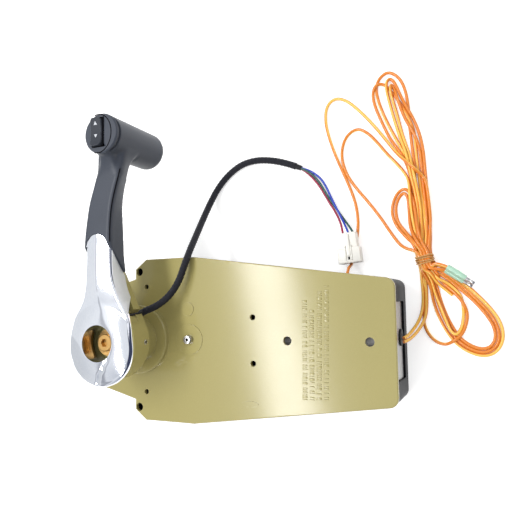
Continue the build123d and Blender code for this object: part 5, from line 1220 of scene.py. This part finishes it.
@dataclass
class ChromeLever:
    """The chromed lever: a sculpted front with a ridge, a domed head round the bore, and its side walls."""

    back: float = 81.0
    drum_front: float = 92.5
    front: float = 97.5
    head_r: float = 29.6
    head_low: float = -32.8
    inner_half: float = 10.16
    inner_x: float = -1.2
    arch_middle: float = 72.3
    bore_r: float = 13.8
    bore_floor: float = 83.0
    crown: float = 1.6
    head_fall: float = 3.6
    head_edge: float = 2.4
    arm_edge: float = 1.9
    rows: int = 26
    arc_steps: int = 60
    side_steps: int = 150
    side_smoothing: int = 40
    arm_from: float = 8.0
    arm_over: float = 42.0
    dome_from: float = 14.0
    dome_power: float = 1.6
    bar_rise: float = 1.3
    bar_slopes: tuple[float, float] = (0.1, 0.17)
    crease_depth: float = 0.7
    crease_width: float = 1.3
    bore_share: float = 0.56
    row_power: float = 1.5
    inset_share: float = 0.92
    bore_rim: float = 0.5
    side_sheen_from: float = 22.0
    side_sheen_below: float = 2.0
    top: float = 80.0
    cut_low: tuple[float, float] = (51.5, 81.0)
    cut_high: tuple[float, float] = (74.6, 99.0)
    rear_from: float = 23.0
    rear_to: float = 34.5
    rear_below: float = 4.0
    inner_from: float = 62.0
    inner_floor: float = 84.2
    ridge: Sequence[tuple[float, float]] = (
        (-40.0, -4.5), (-31.0, -2.2), (-24.4, 0.7), (-19.0, 4.9), (-11.7, 8.9), (0.0, 12.0),
        (7.3, 10.8), (13.6, 6.6), (21.9, 3.3), (31.5, 0.3), (46.0, -1.3), (60.4, -1.5), (90.0, -1.3),
    )
    right_side: Sequence[tuple[float, float]] = (
        (0.0, 29.6), (9.0, 28.6), (17.9, 26.6), (23.4, 24.2), (29.1, 20.6), (36.7, 16.4), (45.0, 13.4),
        (52.0, 11.9), (60.0, 11.5), (90.0, 11.4),
    )
    left_side: Sequence[tuple[float, float]] = (
        (0.0, 29.6), (9.0, 28.6), (17.9, 26.2), (22.8, 22.9), (27.6, 18.9), (33.5, 15.3), (43.0, 12.6),
        (52.0, 11.9), (60.0, 11.5), (90.0, 11.4),
    )

    def side_x(self, y: float, side: int) -> float:
        """Gives the outline's half width at a height above the axis, on the right (1) or the left (-1)."""
        return read_table(self.right_side if side > 0 else self.left_side, y)

    def outline(self, top: float, side: int) -> list[tuple[float, float]]:
        """Gives one half of the outline, mirrored to the right, from the lowest point up.

        Args:
            top: The height where the outline stops.
            side: 1 for the right half, -1 for the left one.

        Returns:
            Points in millimetres.
        """
        points = []
        middle, radius = self.arc()
        start = -math.pi / 2
        end = math.asin(-middle / radius)
        for k in range(self.arc_steps):
            a = start + (end - start) * k / self.arc_steps
            points.append((math.cos(a) * radius, middle + math.sin(a) * radius))
        heights = [top * k / self.side_steps for k in range(self.side_steps + 1)]
        raw = [(self.side_x(y, side), y) for y in heights]
        for _ in range(self.side_smoothing):
            raw = [raw[0]] + [((a[0] + 2 * b[0] + c[0]) / 4, b[1]) for a, b, c in
                              zip(raw, raw[1:], raw[2:])] + [raw[-1]]
        return points + raw

    def arc(self) -> tuple[float, float]:
        """Gives the head's arc as its middle height and radius."""
        low, half = self.head_low, self.head_r
        middle = (low * low - half * half) / (2 * low)
        return middle, middle - low

    def ridge_x(self, y: float) -> float:
        """Gives where the ridge runs across the lever at a height."""
        return read_table(self.ridge, y, ease)

    def height(self, x: float, y: float, inset: float) -> float:
        """Gives the front face's height.

        Args:
            x: Place across the lever.
            y: Place along the lever.
            inset: Distance from the outline.

        Returns:
            The height in millimetres.
        """
        away = math.hypot(x, y)
        arm = ease((y - self.arm_from) / self.arm_over)
        rim = clamp((away - self.dome_from) / (self.head_r - self.dome_from))
        dome = self.front + self.crown - self.head_fall * rim ** self.dome_power
        across = x - self.ridge_x(y)
        slope = self.bar_slopes[across > 0]
        bar = self.front + self.bar_rise - (math.sqrt(across * across + 0.5) - 0.7) * slope
        crease = 0.0
        if y < 0:
            crease = self.crease_depth * math.exp(-((across / self.crease_width) ** 2)) * (1 - arm)
        edge = self.head_edge + (self.arm_edge - self.head_edge) * arm
        lost = 0.0
        if inset < edge:
            lost = edge - math.sqrt(max(edge * edge - (edge - inset) ** 2, 0.0))
        return dome * (1 - arm) + bar * arm - crease - lost

    def half_shell(self, bm: bmesh.types.BMesh, outline: list[tuple[float, float]], top: float,
                   mirror: int, wall_low: float) -> None:
        """Adds one half of the lever's shell.

        Args:
            bm: The mesh that takes the faces.
            outline: The right half's outline.
            top: The height where the middle line stops.
            mirror: 1 for the right half, -1 for the left one.
            wall_low: Height of the side wall's lower edge.
        """
        length = [0.0]
        for a, b in zip(outline, outline[1:]):
            length.append(length[-1] + math.dist(a, b))
        total = length[-1]
        share = self.bore_share
        grid = []
        for (x, y), run in zip(outline, length):
            t = run / total
            if t < share:
                angle = -math.pi / 2 + math.pi * (t / share)
                inner = (self.bore_r * math.cos(angle), self.bore_r * math.sin(angle))
            else:
                u = (t - share) / (1 - share)
                inner = (0.0, self.bore_r + (top - self.bore_r) * u)
            column = []
            for k in range(self.rows + 1):
                s = (k / self.rows) ** self.row_power
                px, py = x + (inner[0] - x) * s, y + (inner[1] - y) * s
                inset = math.dist((x, y), inner) * s * self.inset_share
                column.append((px, py, self.height(px * mirror, py, inset)))
            grid.append((column, inner, t < share))
        verts = [[bm.verts.new(Vector((p[0] * mirror, p[1], p[2])) * MM) for p in column]
                 for column, _, _ in grid]
        for a, b in zip(verts, verts[1:]):
            for k in range(self.rows):
                bm.faces.new((a[k], b[k], b[k + 1], a[k + 1]))
        low = [bm.verts.new(Vector((x * mirror, y, wall_low)) * MM) for x, y in outline]
        for i in range(len(outline) - 1):
            bm.faces.new((verts[i][0], verts[i + 1][0], low[i + 1], low[i]))
        floor = []
        for i, (_, inner, on_bore) in enumerate(grid):
            if on_bore or (i and grid[i - 1][2]):
                rim = verts[i][-1].co
                floor.append((verts[i][-1], bm.verts.new((rim.x, rim.y, rim.z - self.bore_rim * MM)),
                              bm.verts.new(Vector((inner[0] * mirror, inner[1], self.bore_floor)) * MM)))
        for a, b in zip(floor, floor[1:]):
            bm.faces.new((a[0], b[0], b[1], a[1]))
            bm.faces.new((a[1], b[1], b[2], a[2]))

    def cut(self, bm: bmesh.types.BMesh, **sides: bool) -> None:
        """Cuts the arm along the slanting plane where the handle's arch begins."""
        (low_y, low_z), (high_y, high_z) = self.cut_low, self.cut_high
        rise = Vector((0, high_y - low_y, high_z - low_z)).normalized()
        bmesh.ops.bisect_plane(bm, geom=bm.verts[:] + bm.edges[:] + bm.faces[:],
                               plane_co=Vector((0, *self.cut_low)) * MM,
                               plane_no=Vector((0, rise.z, -rise.y)), **sides)

    def build(self) -> bpy.types.Object:
        """Builds the lever.

        Returns:
            The lever's object.
        """
        bm = bmesh.new()
        for mirror in (1, -1):
            self.half_shell(bm, self.outline(self.top, mirror), self.top, mirror, self.back)
        bmesh.ops.remove_doubles(bm, verts=bm.verts, dist=2e-6)
        self.cut(bm, clear_outer=True)
        rear_at = Vector((0, self.rear_from, self.drum_front)) * MM
        slope = Vector((0, self.rear_to - self.rear_from, self.back - self.drum_front)).normalized()
        for v in bm.verts:
            low = v.co.z < (self.front - self.rear_below) * MM and v.co.y < self.rear_to * MM
            if low and math.hypot(v.co.x, v.co.y) > (self.bore_r + 0.4) * MM:
                reach = (v.co.y - rear_at.y) / slope.y * slope.z + rear_at.z
                v.co.z = min(max(reach, self.back * MM), self.drum_front * MM)
        piece = Piece("lever_chrome", Shelf.chrome, Body.LEVER, ("chrome_lever",))
        made = piece.from_bmesh(bm, angle=50.0)
        # the right side wall takes the painted-sheen copy of the chrome
        made.data.materials.append(Shelf.chrome_side_sheen.build())
        for face in made.data.polygons:
            low = face.center.z < (self.front - self.side_sheen_below) * MM
            if low and face.normal.x > 0.6 and face.center.y > self.side_sheen_from * MM:
                face.material_index = 1
        self.inner_arm()
        return piece.settle()

    def inner_arm(self) -> bpy.types.Object:
        """Builds the narrower stretch of the arm that shows inside the handle's arch."""
        bm = bmesh.new()
        half, top = self.inner_half, self.arch_middle + self.inner_half
        columns, rows = 36, 60
        grid = []
        for j in range(rows + 1):
            y = self.inner_from + (top - 0.05 - self.inner_from) * j / rows
            over = max(y - self.arch_middle, 0.0)
            wide = math.sqrt(max(half * half - over ** 2, 0.0))
            row = []
            for i in range(columns + 1):
                x = self.inner_x + wide * math.sin(math.pi * (i / columns - 0.5))
                row.append(bm.verts.new(Vector((x, y, self.height(x, y, 9.0))) * MM))
            grid.append(row)
        for a, b in zip(grid, grid[1:]):
            for i in range(columns):
                bm.faces.new((a[i], a[i + 1], b[i + 1], b[i]))
        rim = [r[0] for r in grid] + grid[-1][1:-1] + [r[-1] for r in reversed(grid)]
        low = [bm.verts.new((v.co.x, v.co.y, self.inner_floor * MM)) for v in rim]
        for i in range(len(rim) - 1):
            bm.faces.new((rim[i], rim[i + 1], low[i + 1], low[i]))
        self.cut(bm, clear_inner=True)
        return Piece("lever_chrome_arm", Shelf.chrome, Body.LEVER, ("chrome_lever",)).add(bm, angle=50.0)


@dataclass
class Handle:
    """The moulded handle with its grip bar: soft edges, a flared neck and a back that narrows upward."""

    voxel: float = 0.55
    neck: tuple[float, float] = (126.0, 147.0)
    grip_at: tuple[float, float] = (13.8, 155.2)
    grip_reach: float = 16.5
    relax: int = 60
    pocket_side: tuple[Point, Point] = ((16.5, 144.2, 105.0), (20.4, 168.4, 112.0))
    back_tuck: Sequence[tuple[float, float]] = (
        (78.0, 0.0), (87.0, 0.6), (95.0, 1.6), (104.0, 3.2), (112.0, 4.4), (121.0, 5.4), (136.0, 5.6),
        (141.0, 3.0), (145.0, 0.0),
    )
    middle_line: tuple[float, float, float] = (0.3, 71.0, 0.155)
    tuck_across: tuple[float, float] = (2.0, 6.0)
    tuck_power: float = 1.3
    tuck_front: float = 97.0
    tuck_back: float = 82.0
    flare: Sequence[tuple[float, float, float, float]] = (
        (121.0, -2.5, 15.5, 97.4), (127.0, -0.6, 17.6, 98.9), (131.0, 1.0, 18.8, 100.2),
        (135.0, 2.8, 19.4, 102.2), (138.5, 4.8, 19.4, 105.0), (141.5, 6.6, 19.2, 108.4),
        (146.0, 7.4, 19.0, 110.6),
    )
    oval_at: tuple[float, float] = (11.4, 155.2)
    oval: tuple[float, float] = (12.1, 14.5)
    oval_turn: float = 104.0
    droop_from: float = 102.0
    droop_over: float = 10.0
    droop_slope: float = 9.0
    droop_most: float = 3.6
    flare_low: float = 92.0
    flare_bevel: tuple[float, float] = (2.6, 2.4)
    skin_smoothing: int = 3
    neck_above: float = 78.0
    grip_core: float = 8.0
    line_r: float = 0.42
    groove_r: float = 0.38
    groove_z: float = 111.95
    # route of the near-black tube of painted shade down the arm's right edge
    edge_shade_line: Sequence[Point] = (
        (20.6, 131.0, 98.0), (18.9, 125.0, 98.0), (16.6, 118.0, 98.0), (14.1, 109.5, 98.0),
        (12.5, 102.0, 98.0), (11.7, 95.0, 98.0), (11.2, 88.0, 98.0), (11.0, 81.0, 98.0), (11.1, 76.2, 97.8),
    )

    def tuck(self, at: Vector) -> Vector:
        """Moves a point of the arm's right side inward, more toward its back.

        Args:
            at: A point in metres.

        Returns:
            The moved point.
        """
        x, y, z = (c / MM for c in at)
        if not self.back_tuck[0][0] < y < self.back_tuck[-1][0]:
            return at
        if math.dist((x, y), self.grip_at) < self.grip_reach and z < self.tuck_back - 1.0:
            return at
        amount = read_table(self.back_tuck, y)
        start, low, lean = self.middle_line
        middle = start + (y - low) * lean
        before, over = self.tuck_across
        across = clamp((x - middle + before) / over)
        depth = clamp((self.tuck_front - z) / (self.tuck_front - self.tuck_back))
        return Vector((x - amount * across * depth ** self.tuck_power, y, z)) * MM

    def droop(self, at: Vector) -> Vector:
        """Rounds the grip's front off toward its right side, outside the cap's oval.

        Args:
            at: A point in metres.

        Returns:
            The moved point.
        """
        x, y, z = (c / MM for c in at)
        if z < self.droop_from or math.dist((x, y), self.grip_at) > self.grip_reach:
            return at
        away = ((c - at) / half for c, at, half in zip((x, y), self.oval_at, self.oval))
        outside = max(math.hypot(*away) - 1.0, 0.0)
        share = (z - self.droop_from) / self.droop_over
        return Vector((x, y, z - min(outside * self.droop_slope, self.droop_most) * share)) * MM

    def shell(self) -> bpy.types.Object:
        """Builds the front shell with the grip bar."""
        piece = Piece("handle_moulding", Shelf.handle, Body.LEVER, ("handle_shell",))
        source = cad_copy("handle_shell")
        bm = bmesh.new()
        bm.from_mesh(source)
        low, (wide, down) = self.flare_low, self.flare_bevel
        loft(bm, [[(left, y, low), (left, y, top - down), (left + wide, y, top), (right - wide, y, top),
                   (right, y, top - down), (right, y, low)] for y, left, right, top in self.flare])
        (x0, y0, z0), (x1, y1, z1) = self.pocket_side
        loft(bm, [[(x0, y, z0), (x0, y, z1), (x1, y, z1), (x1, y, z0)] for y in (y0, y1)])
        bm.to_mesh(source)
        bm.free()
        made = piece.from_mesh(source, smooth=False)
        remesh = made.modifiers.new("skin", "REMESH")
        remesh.mode = "VOXEL"
        remesh.voxel_size = self.voxel * MM
        bpy.context.view_layer.update()
        mesh = bpy.data.meshes.new_from_object(made.evaluated_get(bpy.context.evaluated_depsgraph_get()))
        made.modifiers.clear()
        bm = bmesh.new()
        bm.from_mesh(mesh)
        axes = {"use_axis_x": True, "use_axis_y": True, "use_axis_z": True}
        for _ in range(self.skin_smoothing):
            bmesh.ops.smooth_vert(bm, verts=bm.verts, factor=0.5, **axes)
        for v in bm.verts:
            v.co = self.droop(self.tuck(v.co))
        low, high = self.neck
        near = [v for v in bm.verts if low * MM < v.co.y < high * MM and v.co.z > self.neck_above * MM
                and math.dist((v.co.x / MM, v.co.y / MM), self.grip_at) > self.grip_core]
        for _ in range(self.relax):
            bmesh.ops.smooth_vert(bm, verts=near, factor=0.5, **axes)
        bm.to_mesh(mesh)
        bm.free()
        made.data = mesh
        mesh.materials.clear()
        mesh.materials.append(Shelf.handle.build())
        mesh.shade_smooth()
        return piece.settle()

    def back(self) -> bpy.types.Object:
        """Builds the back cover, tucked in as the shell is."""
        mesh = cad_copy("handle_back_cover")
        for v in mesh.vertices:
            v.co = self.tuck(v.co)
        piece = Piece("handle_back_plate", Shelf.handle, Body.LEVER, ("handle_back_cover",))
        piece.from_mesh(mesh)
        return piece.settle()

    def seams(self) -> None:
        """Builds two thin near-black tubes of painted shade: a line down the arm's right edge and a ring in
        the groove behind the grip's cap.
        """
        bm = bmesh.new()
        # painted shade: a near-black tube down the arm's right edge
        Lathe.tube(bm, Lathe.spline_path(self.edge_shade_line, 6), lambda run, turn: self.line_r * MM, 8)
        Piece("handle_edge_shade_line", Shelf.dark, Body.LEVER).add(bm)
        bm = bmesh.new()
        # painted shade: a near-black ring in the groove behind the grip's cap
        turns = [math.radians(self.oval_turn) * (k / 32 - 1.0) for k in range(65)]
        ring = [Vector((self.oval_at[0] + self.oval[0] * math.cos(turn),
                        self.oval_at[1] + self.oval[1] * math.sin(turn), self.groove_z)) * MM
                for turn in turns]
        Lathe.tube(bm, ring, lambda run, turn: self.groove_r * MM, 8)
        Piece("cap_groove_shade", Shelf.dark, Body.LEVER).add(bm)

    def build(self) -> None:
        """Builds the handle."""
        self.shell()
        self.back()
        self.seams()


@dataclass
class PivotHead:
    """The screw in the end of the shift gear's pivot, at the middle of its pad."""

    at: Point = (48.0, 0.0, 48.8)

    def build(self) -> None:
        """Builds the screw's head and a near-black disc of painted shade in its recess."""
        place = placed(self.at)
        head = [(0, -0.2), (3.3, -0.2), (3.4, 0.2), (3.1, 0.8), (2.5, 1.0), (1.9, 1.0), (1.7, 0.3), (0, 0.3)]
        Piece("pivot_screw", Shelf.steel, Body.MODULE).turned(head, place, 32)
        # painted shade in the screw's recess
        recess = [(0, 0.32), (1.25, 0.32), (1.25, 0.42), (0, 0.42)]
        Piece("pivot_screw_recess_shade", Shelf.dark, Body.MODULE).turned(recess, place, 6, smooth=False)


@dataclass
class Rocker:
    """The trim rocker: a saddle-shaped key with two pale marks and a gap round it, whose floor is a sheet of
    painted shade.
    """

    middle: tuple[float, float] = (10.5, 156.2)
    half: tuple[float, float] = (5.0, 10.5)
    corner: float = 2.6
    low: float = 110.8
    saddle: float = 113.3
    rise: float = 1.6
    bevel: float = 0.55
    marks: Sequence[tuple[float, float]] = ((6.4, 1.0), (-2.8, -1.0))
    mark: float = 1.5
    gap_wide: float = 0.8
    gap_long: float = 0.75
    gap_floor: tuple[float, float] = (111.9, 112.12)
    gap_sides: tuple[float, float] = (-0.92, 1.06)

    def top(self, y: float) -> float:
        """Gives the height of the key's face at a distance along it."""
        return self.saddle + self.rise * (y / self.half[1]) ** 2

    def width(self, y: float, more: float = 0.0) -> float:
        """Gives the key's half width at a distance along it, with its corners rounded."""
        wide, long = self.half
        over = max(abs(y) - (long - self.corner), 0.0)
        return wide + more - self.corner + math.sqrt(max(self.corner ** 2 - over ** 2, 0.0))

    def key(self) -> None:
        """Builds the key."""
        cx, cy = self.middle
        long, bevel = self.half[1], self.bevel
        sections = []
        for k in range(41):
            y = long * math.sin((k / 40 - 0.5) * math.pi)
            wide = self.width(y)
            top = self.top(y) - (bevel if k in (0, 40) else 0.0)
            sections.append([(cx - wide, cy + y, self.low), (cx - wide, cy + y, top - bevel),
                             (cx - wide + bevel, cy + y, top), (cx + wide - bevel, cy + y, top),
                             (cx + wide, cy + y, top - bevel), (cx + wide, cy + y, self.low)])
        bm = bmesh.new()
        loft(bm, sections)
        Piece("rocker_key", Shelf.rocker, Body.ROCKER, ("trim_rocker",)).add(bm)

    def gap(self) -> None:
        """Builds a near-black sheet of painted shade at the floor of the gap round the key."""
        cx, cy = self.middle
        reach = self.half[1] + self.gap_long
        (left, right), (floor, face) = self.gap_sides, self.gap_floor
        bm = bmesh.new()
        sections = []
        for k in range(31):
            y = reach * math.sin((k / 30 - 0.5) * math.pi)
            wide = self.width(y * self.half[1] / reach, self.gap_wide)
            sections.append([(cx + side * wide, cy + y, z) for side, z in (
                (left, floor), (left, face), (right, face), (right, floor))])
        loft(bm, sections)
        # painted shade in the gap round the key
        Piece("rocker_gap_shade", Shelf.dark, Body.LEVER).add(bm, smooth=False)

    def signs(self) -> None:
        """Builds the two arrows just proud of the key."""
        cx, cy = self.middle
        bm = bmesh.new()
        for at, sign in self.marks:
            corners = ((0.0, at + sign * self.mark), (-self.mark, at - sign * self.mark * 0.7),
                       (self.mark, at - sign * self.mark * 0.7))
            loft(bm, [[(cx + x, cy + y, self.top(y) + lift) for x, y in corners] for lift in (-0.3, 0.07)])
        Piece("rocker_marks", Shelf.mark, Body.ROCKER).add(bm, smooth=False)

    def build(self) -> None:
        """Builds the rocker."""
        self.key()
        self.gap()
        self.signs()


# ---------------------------------------------------------------------------------------------- plate


@dataclass
class SetScrewFace:
    """The bright face of the drum's set screw."""

    at: Point = (29.0, 0.0, 77.5)

    def build(self) -> None:
        """Builds the face and a near-black disc of painted shade in its socket."""
        place = placed(self.at, 90.0, "Y")
        # the socket's disc is painted shade
        for name, finish, profile, sides in (
            ("set_screw_rim", Shelf.steel, [(0, -0.5), (1.75, -0.5), (1.8, 0.15), (1.6, 0.4), (1.0, 0.4),
                                            (0.9, 0.0), (0, 0.0)], 28),
            ("set_screw_socket_shade", Shelf.dark, [(0, 0.02), (0.85, 0.02), (0.85, 0.1), (0, 0.1)], 6),
        ):
            Piece(name, finish, Body.LEVER).turned(profile, place, sides)


@dataclass
class PlateRelief:
    """The rows of small raised bars cast into the plate."""

    rows: Sequence[tuple[float, float, float, float]] = (
        (144.9, -42.6, 32.0, 0.02), (150.3, -42.3, 26.3, 0.02), (155.7, -41.9, 38.4, 0.03),
        (161.0, -41.6, 42.4, 0.03),
    )
    face: float = 45.0
    bar_h: float = 0.35
    bar_l: float = 3.6
    seed: int = 7

    def build(self) -> bpy.types.Object:
        """Builds the bars as one raised piece."""
        draw = random.Random(self.seed)
        bm = bmesh.new()
        for x, low, high, lean in self.rows:
            y = low
            while y < high - 2.0:
                wide = draw.choice((0.55, 0.55, 0.8, 1.7))
                gap = draw.choice((0.8, 0.8, 1.0, 2.4))
                shift = (y - low) * lean * 0.9
                rounded_box(bm, (x + shift - self.bar_l / 2, y, self.face - 0.2),
                            (x + shift + self.bar_l / 2, y + wide, self.face + self.bar_h), 0.16,
                            Matrix.Identity(4), 2)
                y += wide + gap
        return Piece("plate_relief", Shelf.olive, Body.MODULE).add(bm)


# ---------------------------------------------------------------------------------------------- dress


def dress_nodes() -> None:
    """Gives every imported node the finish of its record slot."""
    finishes = Shelf.by_slot()
    slots = {s["node"]: s["material_slot"] for s in frame["record"]["subparts"]}
    for name, node in frame["nodes"].items():
        material = finishes[slots[name]].build()
        if node.material_slots:
            for slot in node.material_slots:
                slot.material = material
        else:
            node.data.materials.append(material)
        log.info("%s dressed in %s", name, material.name)


def main() -> None:
    """Builds the studio, dresses the nodes and builds each sub-assembly in turn."""
    Studio().build()
    dress_nodes()
    ChromeLever().build()
    Handle().build()
    Rocker().build()
    SetScrewFace().build()
    PlateRelief().build()
    PivotHead().build()
    Harness().build()
    Leads().build()


if __name__ == "__main__":
    main()
